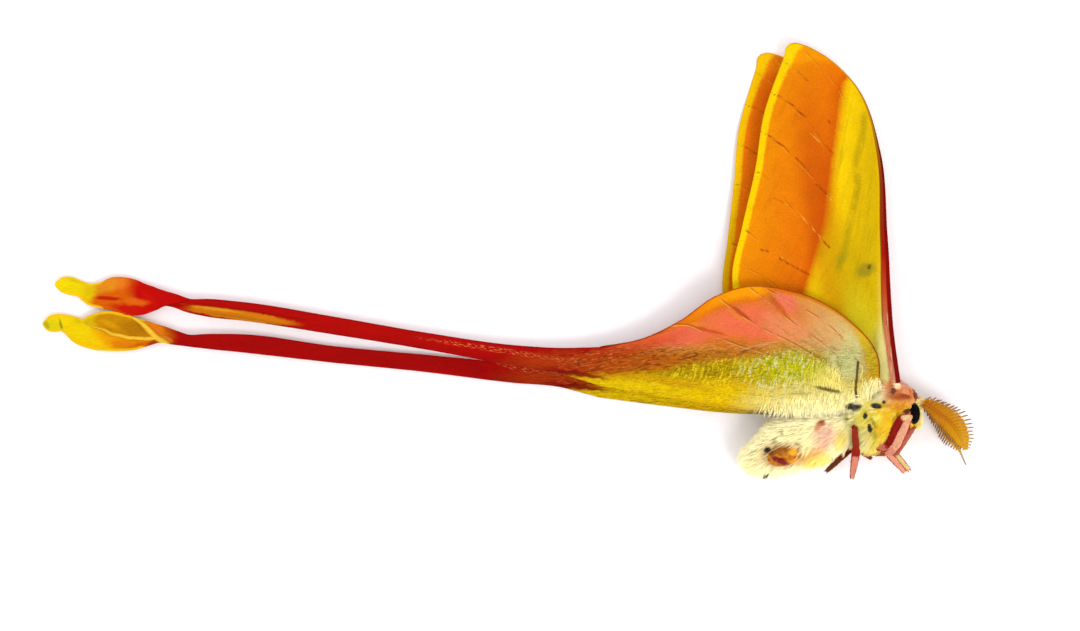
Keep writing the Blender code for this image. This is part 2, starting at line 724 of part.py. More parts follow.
def build():
    for old in list(bpy.data.objects):
        bpy.data.objects.remove(old)

    thorax, collar = chest_bodies(0)
    thorax.name = "thorax"
    combine(thorax, [collar], "UNION")
    abdomen = abdomen_body("abdomen", 0)
    combine(abdomen, [*chest_bodies(GAP), below_floor()], "DIFFERENCE")
    head = head_body("head", 0)
    palps = [
        capsule("palp", root, root + PALP_REACH, 0.55, 0.35, "yellow_fur", 1)
        for root in (PALP_ROOT + Vector((0, 0, side * PALP_SPREAD)) for side in (-1, 1))
    ]
    combine(head, palps, "UNION")
    combine(head, [*chest_bodies(GAP), eye_body("socket", 1, GAP), eye_body("socket", -1, GAP)], "DIFFERENCE")
    for name, side in (("eye_right", 1), ("eye_left", -1)):
        combine(eye_body(name, side, 0), chest_bodies(GAP), "DIFFERENCE")

    forewing("forewing_right", 0.0, right_forewing_height)
    forewing("forewing_left", LEFT_FOREWING_TURN, left_forewing_height)
    right_height, left_height = height_by_x(RIGHT_HINDWING_Z), height_by_x(LEFT_HINDWING_Z)
    hindwing("hindwing_right", 0.0, lambda x, y: right_height(x))
    hindwing("hindwing_left", LEFT_HINDWING_TURN, lambda x, y: left_height(x))

    ribbon("tail_right", RIGHT_TAIL, TAIL_ROWS, "red_tail")
    ribbon("tail_end_right", RIGHT_TAIL_END, TAIL_END_ROWS, "yellow_tail")
    ribbon("tail_left", LEFT_TAIL, TAIL_ROWS, "red_tail")
    ribbon("tail_end_left", LEFT_TAIL_END, TAIL_END_ROWS, "yellow_tail")

    feeler("antenna_right", RIGHT_FEELER, RAY_SPAN)
    feeler("antenna_left", LEFT_FEELER, LEFT_RAY_SPAN)
    for name, joints in LEGS.items():
        leg(name, joints)
    clasper = ellipsoid("clasper", CLASPER_CENTRE, CLASPER_HALF, "clasper_brown", 0, 18, 10)
    combine(clasper, [abdomen_body("cutter", GAP)], "DIFFERENCE")

    draw = random.Random(7)
    back, forward = Vector((-1.0, -0.35, 0)), Vector((0.9, -0.5, 0))
    coats = (
        (thorax, [
            *ball_locks(CHEST_CENTRE, CHEST_HALF, CHEST_LOCKS, back, 2.5, 1.5, "yellow_fur", draw),
            *ball_locks(COLLAR_CENTRE, COLLAR_HALF, COLLAR_LOCKS, back, 1.6, 1.1, "yellow_fur", draw),
        ]),
        (abdomen, list(abdomen_locks(draw))),
        (head, list(ball_locks(
            HEAD_CENTRE, HEAD_HALF, HEAD_LOCKS, forward, 1.0, 0.8, "yellow_fur", draw, HEAD_FRONT
        ))),
    )
    for body, shapes in coats:
        others = [o for o in bpy.data.objects if o is not body]
        grow_fur(body, shapes, others)


build()
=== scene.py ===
import math

import bmesh
import bpy
import numpy as np
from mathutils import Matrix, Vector, noise


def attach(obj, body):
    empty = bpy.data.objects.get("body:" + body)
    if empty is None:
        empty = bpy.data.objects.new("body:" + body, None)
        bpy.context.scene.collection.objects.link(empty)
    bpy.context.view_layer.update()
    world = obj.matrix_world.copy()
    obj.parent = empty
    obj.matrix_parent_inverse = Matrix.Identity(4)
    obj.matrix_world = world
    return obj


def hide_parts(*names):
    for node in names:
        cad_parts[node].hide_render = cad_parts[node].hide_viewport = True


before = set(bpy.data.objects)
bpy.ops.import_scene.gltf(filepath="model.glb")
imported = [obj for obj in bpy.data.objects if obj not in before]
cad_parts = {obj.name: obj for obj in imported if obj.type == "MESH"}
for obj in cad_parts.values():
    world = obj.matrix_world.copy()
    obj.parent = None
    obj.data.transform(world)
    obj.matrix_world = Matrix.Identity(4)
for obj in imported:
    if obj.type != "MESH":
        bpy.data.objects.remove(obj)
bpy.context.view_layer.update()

# Camera, light and floor.
# The moth lies on its side on a white sheet and is seen from straight above. A broad soft lamp at the lower
# right and a bright room give the pale shadows to the left of the wings.
MM = 0.001
VIEW_CENTRE = (5.3, -8.66)
VIEW_WIDTH = 168.5
LENS = 100.0
SENSOR = 36.0
MID_HEIGHT = 4.0
ROOM_TINT = (1.0, 0.97, 0.99, 1.0)
ROOM_LIGHT = 1.16
FLOOR_HALF = 2
NOISE = "ShaderNodeTexNoise"
MIX = "ShaderNodeMix"


def linear(code):
    """Turns an sRGB hex value into linear colour with alpha."""
    parts = [int(code[i:i + 2], 16) / 255 for i in (1, 3, 5)]
    return tuple(p / 12.92 if p <= 0.04045 else ((p + 0.055) / 1.055) ** 2.4 for p in parts) + (1.0,)


def new_object(name, data):
    """An object that is linked to the scene."""
    made = bpy.data.objects.new(name, data)
    bpy.context.scene.collection.objects.link(made)
    return made


def add_node(tree, kind, inputs=None, **settings):
    """Adds a node with its settings. An input takes a value, a socket, or a node for its first output in use."""
    made = tree.nodes.new(kind)
    for name, value in settings.items():
        setattr(made, name, value)
    for socket, value in (inputs or {}).items():
        if isinstance(value, bpy.types.Node):
            value = next(output for output in value.outputs if output.enabled)
        if isinstance(value, bpy.types.NodeSocket):
            tree.links.new(value, made.inputs[socket])
        else:
            made.inputs[socket].default_value = value
    return made


def new_material(name):
    """An empty material with its node tree."""
    made = bpy.data.materials.new(name)
    made.use_nodes = True
    made.node_tree.nodes.clear()
    return made, made.node_tree


def fine_grain(tree, per_metre, detail=2.0):
    """An even noise over the object, with so many grains to the metre."""
    here = add_node(tree, "ShaderNodeTexCoord")
    return add_node(tree, NOISE, {"Vector": here.outputs["Object"], "Scale": per_metre, "Detail": detail})


def finish_material(tree, colour, height, bump, roughness, **shader):
    """Adds the shader: colour, a bump of so many millimetres, and fixed values."""
    relief = add_node(tree, "ShaderNodeBump", {"Height": height, "Distance": bump * MM, "Strength": 1.0})
    surface = add_node(tree, "ShaderNodeBsdfPrincipled",
                       {"Base Color": colour, "Roughness": roughness, "Normal": relief})
    for name, value in shader.items():
        surface.inputs[name.replace("_", " ")].default_value = value
    add_node(tree, "ShaderNodeOutputMaterial", {"Surface": surface})


camera = new_object("camera", bpy.data.cameras.new("camera"))
camera.data.lens = LENS
camera.data.sensor_width = SENSOR
camera.location = (VIEW_CENTRE[0] * MM, VIEW_CENTRE[1] * MM, (VIEW_WIDTH * LENS / SENSOR + MID_HEIGHT) * MM)
bpy.context.scene.camera = camera

# Place and size of each lamp in metres, and its power in watts.
for lamp_name, lamp_at, size, power in (
    ("key_lamp", (0.22, -0.2, 0.42), 0.16, 0.88),
    ("fill_lamp", (-0.3, 0.25, 0.5), 0.5, 0.32),
):
    lamp = new_object(lamp_name, bpy.data.lights.new(lamp_name, "AREA"))
    lamp.data.size = size
    lamp.data.energy = power
    lamp.location = lamp_at
    lamp.rotation_mode = "QUATERNION"
    lamp.rotation_quaternion = (-Vector(lamp_at)).to_track_quat("-Z", "Y")

room = bpy.data.worlds.new("bright_room")
room.use_nodes = True
room_light = room.node_tree.nodes["Background"].inputs
room_light["Color"].default_value = ROOM_TINT
room_light["Strength"].default_value = ROOM_LIGHT
bpy.context.scene.world = room
bpy.context.scene.view_settings.view_transform = "Standard"

floor = new_object("floor", bpy.data.meshes.new("floor"))
floor.data.from_pydata([(x * FLOOR_HALF, y * FLOOR_HALF, 0) for x, y in ((-1, -1), (1, -1), (1, 1), (-1, 1))],
                       [], [(0, 1, 2, 3)])
paper, paper_tree = new_material("matt_white_paper")
fibres = fine_grain(paper_tree, 900.0, 3.0)
paper_colour = add_node(paper_tree, MIX, {0: fibres, 6: linear("#F4F2F3"), 7: linear("#F8F7F8")}, data_type="RGBA")
finish_material(paper_tree, paper_colour, fibres, 0.01, 0.9, Specular_IOR_Level=0.1)
floor.data.materials.append(paper)

# Skin of the head, chest and abdomen.
# One closed skin from the front of the head to the tip of the abdomen, soft and pale under the fur. It bulges
# where the wings are hinged and is flat where the moth lies on the floor.
MIDDLE = 4.2
SKIN_INSET = 0.22
SPINE = ((64.38, -23.8, 4.3), (62.6, -23.7, 4.3), (60.2, -23.7, 4.3), (57.3, -24.7, 4.2), (53.6, -25.9, 4.2),
         (50.0, -26.85, 4.2), (46.0, -27.9, 4.2), (43.0, -28.8, 4.2), (41.0, -29.4, 4.2), (39.5, -29.9, 4.2),
         (38.25, -30.45, 4.2))
ROUNDS = (
    ((57.3, -24.7, 4.2), (4.6, 4.6, 4.35)),
    ((61.2, -21.0, 4.7), (2.3, 2.25, 2.9)),
    ((62.6, -23.7, 4.3), (2.0, 2.5, 2.6)),
    ((62.1, -23.7, 6.2), (1.0, 1.75, 1.25)),
    ((62.1, -23.7, 2.4), (1.0, 1.75, 1.25)),
    ((64.25, -22.3, 4.3), (0.9, 0.8, 1.7)),
    ((64.4, -25.6, 5.0), (0.6, 0.85, 0.45)),
    ((64.4, -25.6, 3.6), (0.6, 0.85, 0.45)),
    ((59.1, -20.3, 6.85), (2.0, 1.3, 0.8)),
    ((54.9, -21.8, 7.3), (1.8, 1.3, 1.1)),
    ((59.1, -20.3, 1.6), (2.0, 1.3, 0.8)),
    ((54.9, -21.8, 0.95), (1.8, 1.3, 0.9)),
)
ABDOMEN = ((53.6, -26.0, 2.4, 2.6), (52.2, -26.3, 3.4, 3.7), (49.5, -27.0, 4.0, 4.3), (46.0, -27.9, 4.1, 4.35),
           (43.0, -28.8, 4.0, 4.35), (41.0, -29.4, 3.5, 4.0), (39.5, -29.9, 2.7, 3.2), (38.5, -30.3, 1.7, 2.1),
           (38.1, -30.5, 0.8, 1.0))
BLEND = 0.35
SKIN_ROWS = 170
SKIN_AROUND = 132
FLOOR_LIFT = 0.12
UP = np.array((0.0, 0.0, 1.0))
# A marking with two numbers for its place lies in plan, and takes in this much height on either side of 0.
FLAT_REACH = 9.0
MAP_RANGE = "ShaderNodeMapRange"
VECTOR_MATH = "ShaderNodeVectorMath"


def cubic(u, width, low, high, low_slope, high_slope):
    """The smooth value between two others, at a share u of the width between them."""
    return ((2 * u ** 3 - 3 * u ** 2 + 1) * low + (u ** 3 - 2 * u ** 2 + u) * width * low_slope
            + (3 * u ** 2 - 2 * u ** 3) * high + (u ** 3 - u ** 2) * width * high_slope)


def through(points):
    """A smooth curve through points, which takes an array of shares of its length."""
    points = np.array(points, float)
    steps = np.linalg.norm(np.diff(points[:, :2], axis=0), axis=1)
    at = np.concatenate([[0.0], np.cumsum(steps)]) / steps.sum()
    slopes = np.gradient(points, at, axis=0)

    def curve(share):
        share = np.clip(np.atleast_1d(np.asarray(share, float)), 0.0, 1.0)
        i = np.clip(np.searchsorted(at, share, side="right") - 1, 0, len(at) - 2)
        width = (at[i + 1] - at[i])[:, None]
        u = ((share - at[i]) / width[:, 0])[:, None]
        return cubic(u, width, points[i], points[i + 1], slopes[i], slopes[i + 1])
    return curve


def sampled(points, count=60):
    """So many points on the smooth curve through some points."""
    return through(points)(np.linspace(0, 1, count))


def smooth(low, high, value):
    """Rises smoothly from 0 at low to 1 at high."""
    share = np.clip((np.asarray(value, float) - low) / (high - low), 0.0, 1.0)
    return share * share * (3 - 2 * share)


def body_depth(points):
    """About how far points lie outside the fleshy body, in millimetres."""
    fields = []
    for centre, half in ROUNDS:
        scaled = (points - np.array(centre)) / np.array(half)
        fields.append((np.linalg.norm(scaled, axis=-1) - 1) * min(half))
    table = np.array(ABDOMEN)[::-1]
    x = np.clip(points[..., 0], table[0, 0], table[-1, 0])
    middle, high, wide = (np.interp(x, table[:, 0], table[:, i]) for i in (1, 2, 3))
    ring = np.hypot((points[..., 1] - middle) / high, (points[..., 2] - MIDDLE) / wide)
    beyond = np.abs(points[..., 0] - x)
    fields.append((ring - 1) * high + beyond)
    total = sum(np.exp(-np.clip(f, -9, 9) / BLEND) for f in fields)
    return -BLEND * np.log(total)


def link_mesh(name, points, faces):
    """A smooth piece from points in millimetres, with its faces turned outwards."""
    mesh = bpy.data.meshes.new(name)
    mesh.from_pydata((np.asarray(points, float) * MM).tolist(), [], faces)
    shape = bmesh.new()
    shape.from_mesh(mesh)
    bmesh.ops.recalc_face_normals(shape, faces=shape.faces)
    shape.to_mesh(mesh)
    shape.free()
    mesh.shade_smooth()
    return new_object(name, mesh)


def keep_values(mesh, name, values):
    """Stores one number or vector for each point of a mesh."""
    values = np.asarray(values, float)
    one_each = values.ndim == 1
    layer = mesh.attributes.new(name, "FLOAT" if one_each else "FLOAT_VECTOR", "POINT")
    layer.data.foreach_set("value" if one_each else "vector", values.ravel())


def place(piece, slot, *nodes):
    """Fixes a finished piece to the body and hides the imported parts of the nodes that it stands for."""
    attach(piece, "root")
    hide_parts(*nodes)


spine = through(SPINE)
share = 0.5 - 0.5 * np.cos(np.linspace(0, np.pi, SKIN_ROWS))
share = 0.55 * share + 0.45 * np.linspace(0, 1, SKIN_ROWS)
axis = spine(share)
forward = np.gradient(axis, axis=0)
forward /= np.linalg.norm(forward, axis=1)[:, None]
aside = np.cross(forward, UP)
aside /= np.linalg.norm(aside, axis=1)[:, None]
turn = np.linspace(0, 2 * np.pi, SKIN_AROUND, endpoint=False)
spokes = np.cos(turn)[None, :, None] * UP + np.sin(turn)[None, :, None] * aside[:, None, :]
reach = np.arange(0.02, 7.0, 0.04)
samples = axis[:, None, None, :] + spokes[:, :, None, :] * reach[None, None, :, None]
inside = body_depth(samples) < -SKIN_INSET
last = inside.shape[2] - 1 - np.argmax(inside[:, :, ::-1], axis=2)
radius = np.where(inside.any(axis=2), reach[last], 0.02)
for _ in range(3):
    radius[1:-1] = (radius[:-2] + 2 * radius[1:-1] + radius[2:]) / 4
    radius = (np.roll(radius, 1, axis=1) + 2 * radius + np.roll(radius, -1, axis=1)) / 4
rings = (axis[:, None, :] + spokes * radius[:, :, None])[1:-1]
rings[..., 2] = np.maximum(rings[..., 2], FLOOR_LIFT)
ring_count = len(rings)
skin_points = np.concatenate([rings.reshape(-1, 3), axis[:1], axis[-1:]])
front, back = len(skin_points) - 2, len(skin_points) - 1
skin_faces = []
for i in range(ring_count - 1):
    for j in range(SKIN_AROUND):
        k = (j + 1) % SKIN_AROUND
        skin_faces.append((i * SKIN_AROUND + j, i * SKIN_AROUND + k,
                           (i + 1) * SKIN_AROUND + k, (i + 1) * SKIN_AROUND + j))
for j in range(SKIN_AROUND):
    k = (j + 1) % SKIN_AROUND
    skin_faces.append((front, k, j))
    skin_faces.append((back, (ring_count - 1) * SKIN_AROUND + j, (ring_count - 1) * SKIN_AROUND + k))
skin = link_mesh("body_skin", skin_points, skin_faces)
unwrap = skin.data.uv_layers.new(name="unwrap")
for face in skin.data.polygons:
    around = [v % SKIN_AROUND for v in face.vertices if v < front]
    wraps = max(around) - min(around) > SKIN_AROUND / 2
    pole_column = SKIN_AROUND - 0.5 if wraps else min(around) + 0.5
    for corner in face.loop_indices:
        vertex = skin.data.loops[corner].vertex_index
        if vertex >= front:
            unwrap.data[corner].uv = (pole_column / SKIN_AROUND, 0.0 if vertex == front else 1.0)
            continue
        column = vertex % SKIN_AROUND
        if wraps and column < SKIN_AROUND / 2:
            column += SKIN_AROUND
        unwrap.data[corner].uv = (column / SKIN_AROUND, (vertex // SKIN_AROUND + 1) / (ring_count + 1))


def object_mm(tree):
    """The place on the object in millimetres."""
    here = add_node(tree, "ShaderNodeTexCoord")
    return add_node(tree, VECTOR_MATH, {0: here.outputs["Object"], 1: (1000.0,) * 3}, operation="MULTIPLY")


def ragged(tree, at, size, amount):
    """Shifts places by a fine noise, so that the edges of markings are uneven."""
    grain = add_node(tree, NOISE, {"Vector": at, "Scale": 1.0 / size, "Detail": 3.0})
    centred = add_node(tree, VECTOR_MATH, {0: grain.outputs["Color"], 1: (0.5,) * 3}, operation="SUBTRACT")
    return add_node(tree, VECTOR_MATH, {0: centred, 1: (2 * amount,) * 3, 2: at}, operation="MULTIPLY_ADD")


def oval_distance(tree, at, centre, half, turned_by):
    """How far places lie from the centre of a turned oval; its edge is at 1."""
    offset = add_node(tree, VECTOR_MATH, {0: at, 1: (*centre, 0.0)[:3]}, operation="SUBTRACT")
    squared_up = add_node(tree, "ShaderNodeVectorRotate",
                          {"Vector": offset, "Angle": -math.radians(turned_by)}, rotation_type="Z_AXIS")
    scaled = add_node(tree, VECTOR_MATH, {0: squared_up, 1: (*half, FLAT_REACH)[:3]}, operation="DIVIDE")
    return add_node(tree, VECTOR_MATH, {0: scaled}, operation="LENGTH")


def spotted(tree, below, code, at, centre, half, turned_by, soft, strength):
    """Lays a rounded marking over a colour."""
    far = oval_distance(tree, at, centre, half, turned_by)
    mask = add_node(tree, MAP_RANGE, {0: far, 1: 1 + soft, 2: 1 - soft, 3: 0.0, 4: strength},
                    interpolation_type="SMOOTHSTEP")
    return add_node(tree, MIX, {0: mask, 6: below, 7: linear(code)}, data_type="RGBA")


def marked(tree, colour, marks, at, fine_at=None, wide_from=0.0, size_of=min):
    """Lays the markings of a table over a colour. Small ones can have places with a finer ragged edge."""
    for code, centre, half, turned_by, soft, strength in marks:
        wide = fine_at is None or size_of(half[:2]) > wide_from
        colour = spotted(tree, colour, code, at if wide else fine_at, centre, half, turned_by, soft, strength)
    return colour


def fur_colour(tree, root, here):
    """The markings of the body, the same for skin and fur: wide ones by a hair's root, small ones by its place."""
    return marked(tree, linear("#FFF9CA"), BODY_MARKS, ragged(tree, root, 1.1, 0.4), ragged(tree, here, 0.45, 0.1),
                  1.5, max)


# Colour, centre, half sizes, turn in degrees, softness and strength of each marking, from wide to small.
BODY_MARKS = (
    ("#FAD804", (60.0, -25.2, 6.0), (4.2, 4.1, 6.0), 0.0, 0.3, 1.0),
    ("#EEE050", (57.4, -28.2, 6.0), (2.4, 1.9, 5.0), 0.0, 0.5, 0.8),
    ("#F6F0B2", (55.8, -27.4, 6.0), (1.5, 1.6, 5.0), 0.0, 0.5, 0.85),
    ("#F4EC9A", (55.6, -25.0, 6.0), (1.6, 2.2, 5.0), 0.0, 0.5, 0.85),
    ("#F8F04A", (57.6, -24.6, 8.5), (1.2, 1.0, 3.0), -20.0, 0.5, 0.9),
    ("#F2E646", (56.2, -23.6, 8.5), (1.0, 1.9, 3.0), -14.0, 0.5, 0.85),
    ("#F4EC62", (56.9, -21.9, 8.5), (1.5, 0.5, 3.0), -8.0, 0.6, 0.6),
    ("#FFE008", (59.5, -24.6, 8.5), (1.5, 1.0, 3.0), 10.0, 0.5, 0.9),
    ("#F6F2C8", (58.2, -20.6, 7.0), (1.7, 1.1, 4.0), 10.0, 0.5, 0.8),
    ("#F4D650", (49.3, -30.4, 6.0), (3.6, 1.4, 4.0), -10.0, 0.5, 0.9),
    ("#FBEF7C", (49.6, -30.2, 6.0), (1.7, 0.7, 4.0), 0.0, 0.6, 0.8),
    ("#F4E268", (52.0, -27.9, 7.0), (1.0, 1.5, 4.0), -20.0, 0.6, 0.8),
    ("#DE8A42", (61.7, -19.9, 5.5), (2.9, 2.0, 5.0), -30.0, 0.35, 1.0),
    ("#F2B40C", (61.3, -22.5, 7.0), (1.9, 0.75, 4.0), -6.0, 0.5, 0.9),
    ("#D4A090", (62.3, -19.2, 5.5), (1.5, 0.8, 5.0), -40.0, 0.5, 0.85),
    ("#C8660E", (60.9, -21.2, 7.0), (1.3, 0.5, 4.0), -8.0, 0.5, 0.9),
    ("#A8400A", (62.0, -21.15, 7.0), (0.9, 0.34, 4.0), -14.0, 0.5, 0.85),
    ("#ECA878", (61.6, -20.3, 7.0), (0.9, 0.34, 4.0), -30.0, 0.5, 0.75),
    ("#F8E8C0", (60.8, -19.6, 7.0), (0.55, 0.5, 4.0), 0.0, 0.4, 0.95),
    ("#E0904A", (62.6, -20.0, 7.0), (0.3, 0.9, 4.0), -30.0, 0.5, 0.7),
    ("#8A2A10", (63.5, -20.3, 6.0), (0.32, 0.9, 4.0), 20.0, 0.4, 0.8),
    ("#F8E67C", (65.0, -22.3, 4.6), (1.0, 0.8, 3.0), 0.0, 0.35, 1.0),
    ("#F7EBAE", (65.0, -23.4, 4.3), (0.9, 2.8, 3.5), 0.0, 0.4, 0.95),
    ("#F8D2BA", (50.1, -26.9, 8.6), (1.7, 2.1, 2.2), -20.0, 0.45, 0.85),
    ("#F6C684", (48.4, -29.3, 8.6), (2.2, 0.6, 2.6), 24.0, 0.5, 0.7),
    ("#C0621C", (49.0, -25.25, 8.6), (0.7, 0.4, 2.4), 14.0, 0.4, 0.95),
    ("#E8A060", (48.4, -25.9, 8.6), (0.7, 0.4, 2.4), 60.0, 0.5, 0.7),
    ("#D2922A", (43.7, -30.3, 8.4), (3.5, 1.9, 2.2), -12.0, 0.4, 0.75),
    ("#B08A3A", (45.3, -28.4, 8.6), (0.4, 0.2, 2.4), -10.0, 0.4, 0.8),
    ("#B4AC5C", (41.8, -28.0, 7.6), (0.5, 0.45, 2.4), 0.0, 0.5, 0.7),
    ("#C8C488", (43.0, -26.7, 7.6), (0.24, 0.6, 2.6), 0.0, 0.5, 0.7),
    ("#A6A22A", (56.8, -21.25, 8.0), (0.4, 0.24, 2.6), 0.0, 0.4, 0.9),
    ("#A8A63A", (53.0, -24.5, 8.4), (0.36, 0.5, 2.6), 10.0, 0.5, 0.8),
    ("#8E8A34", (52.8, -21.4, 8.4), (0.9, 0.16, 2.6), -6.0, 0.4, 0.8),
    ("#FFF47A", (57.4, -24.4, 8.6), (0.8, 0.5, 3.0), 10.0, 0.5, 0.85),
    ("#FFF06A", (59.0, -23.2, 8.6), (0.9, 0.3, 3.0), 0.0, 0.5, 0.8),
    ("#FFEA50", (59.9, -24.0, 8.6), (0.6, 0.35, 3.0), 20.0, 0.5, 0.8),
    ("#F8F0A0", (56.7, -23.2, 8.6), (0.5, 0.4, 3.0), 0.0, 0.5, 0.8),
    ("#8C8410", (57.0, -25.1, 8.6), (0.26, 0.8, 3.0), 30.0, 0.6, 0.6),
    # Painted shade: an olive patch of shade in the chest fur.
    ("#A8AC20", (57.2, -27.0, 8.0), (0.4, 0.7, 3.0), 10.0, 0.5, 0.6),
    ("#D8806A", (56.8, -29.6, 5.0), (1.9, 0.4, 4.0), -8.0, 0.5, 0.8),
    ("#0C0802", (57.5, -22.6, 8.6), (0.86, 0.42, 3.0), -6.0, 0.2, 1.0),
    ("#0C0802", (58.7, -21.95, 8.6), (0.3, 0.34, 3.0), 0.0, 0.2, 1.0),
    ("#0C0802", (55.75, -24.05, 8.6), (0.36, 0.5, 3.0), 0.0, 0.2, 1.0),
    ("#0C0802", (56.4, -25.95, 8.6), (0.34, 0.7, 3.0), 14.0, 0.2, 1.0),
    ("#160A04", (53.85, -22.8, 8.8), (1.3, 0.5, 2.5), 10.0, 0.25, 1.0),
    ("#7E2E10", (60.1, -20.3, 7.5), (0.4, 0.46, 3.0), 0.0, 0.3, 0.95),
    ("#6E0E06", (63.6, -21.2, 6.5), (0.34, 1.0, 2.4), 12.0, 0.3, 1.0),
    ("#5E1006", (62.3, -23.4, 8.0), (0.72, 0.36, 2.5), 14.0, 0.3, 0.95),
    ("#17100A", (40.6, -29.4, 7.0), (0.42, 0.62, 3.0), -40.0, 0.3, 1.0),
    ("#17100A", (40.7, -33.4, 5.2), (0.4, 0.6, 1.1), -30.0, 0.3, 1.0),
)

# Soft cuticle: thin horn with a waxy bloom, which shows between the hairs as a dull warm ground.
cuticle, cuticle_tree = new_material("soft_cuticle")
skin_mm = object_mm(cuticle_tree)
dulled = add_node(cuticle_tree, MIX,
                  {0: 0.25, 6: fur_colour(cuticle_tree, skin_mm, skin_mm), 7: linear("#B98A4A")}, data_type="RGBA")
pores = add_node(cuticle_tree, NOISE, {"Vector": skin_mm, "Scale": 4.0, "Detail": 4.0})
finish_material(cuticle_tree, dulled, pores, 0.08, 0.7, Specular_IOR_Level=0.3)
skin.data.materials.append(cuticle)

# Fur of the body.
# Long woolly hair-scales, rooted in the skin and lying backwards from the collar to the tip of the abdomen, and
# forwards on the face. Each tuft is a closed three-sided spike; the tufts bend together in small locks.
PATCH = 0.003
PRESSED = 0.03
FUR_SHAPE = ("Tufts per square millimetre", "Tuft length", "Tuft width", "Lift", "Lock size", "Lock pull")
MATH = "ShaderNodeMath"
ATTRIBUTE = "ShaderNodeAttribute"


def spike(rings, angles, tip):
    """Points and faces of a three-sided spike through rings of bend, height and width, open at its foot."""
    points = [(bend + wide * 0.5 * math.cos(a), wide * 0.5 * math.sin(a), high)
              for bend, high, wide in rings for a in angles]
    faces = [(ring + side, ring + (side + 1) % 3, ring + 3 + (side + 1) % 3, ring + 3 + side)
             for ring in (0, 3) for side in range(3)]
    faces += [(6 + side, 6 + (side + 1) % 3, 9) for side in range(3)]
    return points + [tip], faces


def new_tree(name, sockets):
    """An empty geometry tree with named inputs, and the sockets that bring them in."""
    tree = bpy.data.node_groups.new(name, "GeometryNodeTree")
    for way in ("INPUT", "OUTPUT"):
        tree.interface.new_socket("Geometry", in_out=way, socket_type="NodeSocketGeometry")
    for socket_name, kind, *value in sockets:
        socket = tree.interface.new_socket(socket_name, in_out="INPUT", socket_type="NodeSocket" + kind)
        if value:
            socket.default_value = value[0]
    return tree, add_node(tree, "NodeGroupInput").outputs


def made_by(tree, ground, name, values):
    """Runs a tree on a mesh and gives its result as a plain mesh piece."""
    maker = new_object(name + "_maker", ground)
    modifier = maker.modifiers.new("maker", "NODES")
    modifier.node_group = tree
    for item in tree.interface.items_tree:
        if item.item_type == "SOCKET" and item.in_out == "INPUT" and item.name in values:
            modifier[item.identifier] = values[item.name]
    graph = bpy.context.evaluated_depsgraph_get()
    result = bpy.data.meshes.new_from_object(maker.evaluated_get(graph), preserve_all_data_layers=True,
                                             depsgraph=graph)
    result.name = name
    maker.modifiers.clear()
    bpy.data.objects.remove(maker)
    return new_object(name, result)


tuft_points, tuft_faces = spike(((0.0, 0.0, 1.0), (0.10, 0.36, 0.95), (0.02, 0.70, 0.62)), (0.0, 2.0944, 4.1888),
                                (-0.35, 0.0, 1.0))
tuft = bpy.data.objects.new("tuft", bpy.data.meshes.new("tuft"))
tuft.data.from_pydata(tuft_points, [], [(2, 1, 0)] + tuft_faces)
keep_values(tuft.data, "along", [p[2] for p in tuft_points])
tuft_map = tuft.data.uv_layers.new(name="tuft_map")
for corner in tuft.data.loops:
    x, y, z = tuft_points[corner.vertex_index]
    tuft_map.data[corner.index].uv = (0.5 * y + 0.25 * (x > 0.2), z - 0.5)

fur_tree, fur_in = new_tree("fur", (
    ("Tufts per square millimetre", "Float", 30.0), ("Tuft length", "Float", 1.4), ("Tuft width", "Float", 0.16),
    ("Lift", "Float", 0.4), ("Lock size", "Float", 1.1), ("Lock pull", "Float", 0.8), ("Seed", "Int", 1),
    ("Tuft", "Object"), ("Material", "Material"),
))
# The values stored on the ground: how thick and how long the fur is, where it lies, and the ground's unwrap.
ground = {name: add_node(fur_tree, "GeometryNodeInputNamedAttribute", {"Name": name}, data_type=kind)
          for name, kind in (("thick", "FLOAT"), ("long", "FLOAT"), ("lie", "FLOAT_VECTOR"),
                             ("unwrap", "FLOAT_VECTOR"), ("root_map", "FLOAT_VECTOR"), ("tuft_map", "FLOAT_VECTOR"))}
per_metre = add_node(fur_tree, MATH, {0: fur_in["Tufts per square millimetre"], 1: 1e6}, operation="MULTIPLY")
density = add_node(fur_tree, MATH, {0: per_metre, 1: ground["thick"]}, operation="MULTIPLY")
roots = add_node(fur_tree, "GeometryNodeDistributePointsOnFaces",
                 {"Mesh": fur_in["Geometry"], "Density": density, "Seed": fur_in["Seed"]}).outputs
here = add_node(fur_tree, "GeometryNodeInputPosition")
here_mm = add_node(fur_tree, VECTOR_MATH, {0: here, "Scale": 1000.0}, operation="SCALE")
lock_scale = add_node(fur_tree, MATH, {0: 1.0, 1: fur_in["Lock size"]}, operation="DIVIDE")
lock_noise = add_node(fur_tree, NOISE, {"Vector": here_mm, "Scale": lock_scale, "Detail": 1.0})
lock_side = add_node(fur_tree, VECTOR_MATH, {0: lock_noise.outputs["Color"], 1: (0.5,) * 3}, operation="SUBTRACT")
pulled = add_node(fur_tree, VECTOR_MATH, {0: lock_side, "Scale": fur_in["Lock pull"]}, operation="SCALE")
stray = add_node(fur_tree, "FunctionNodeRandomValue",
                 {0: (-0.22,) * 3, 1: (0.22,) * 3, "Seed": fur_in["Seed"]}, data_type="FLOAT_VECTOR")
aim = add_node(fur_tree, VECTOR_MATH, {0: roots["Normal"], "Scale": fur_in["Lift"]}, operation="SCALE")
for bend in (ground["lie"], pulled, stray):
    aim = add_node(fur_tree, VECTOR_MATH, {0: aim, 1: bend}, operation="ADD")
stood = add_node(fur_tree, "FunctionNodeAlignRotationToVector", {"Vector": aim}, axis="Z")
faced = add_node(fur_tree, "FunctionNodeAlignRotationToVector", {"Rotation": stood, "Vector": roots["Normal"]},
                 axis="X", pivot_axis="Z")
uneven = add_node(fur_tree, "FunctionNodeRandomValue", {2: 0.65, 3: 1.25, "Seed": fur_in["Seed"]}, data_type="FLOAT")
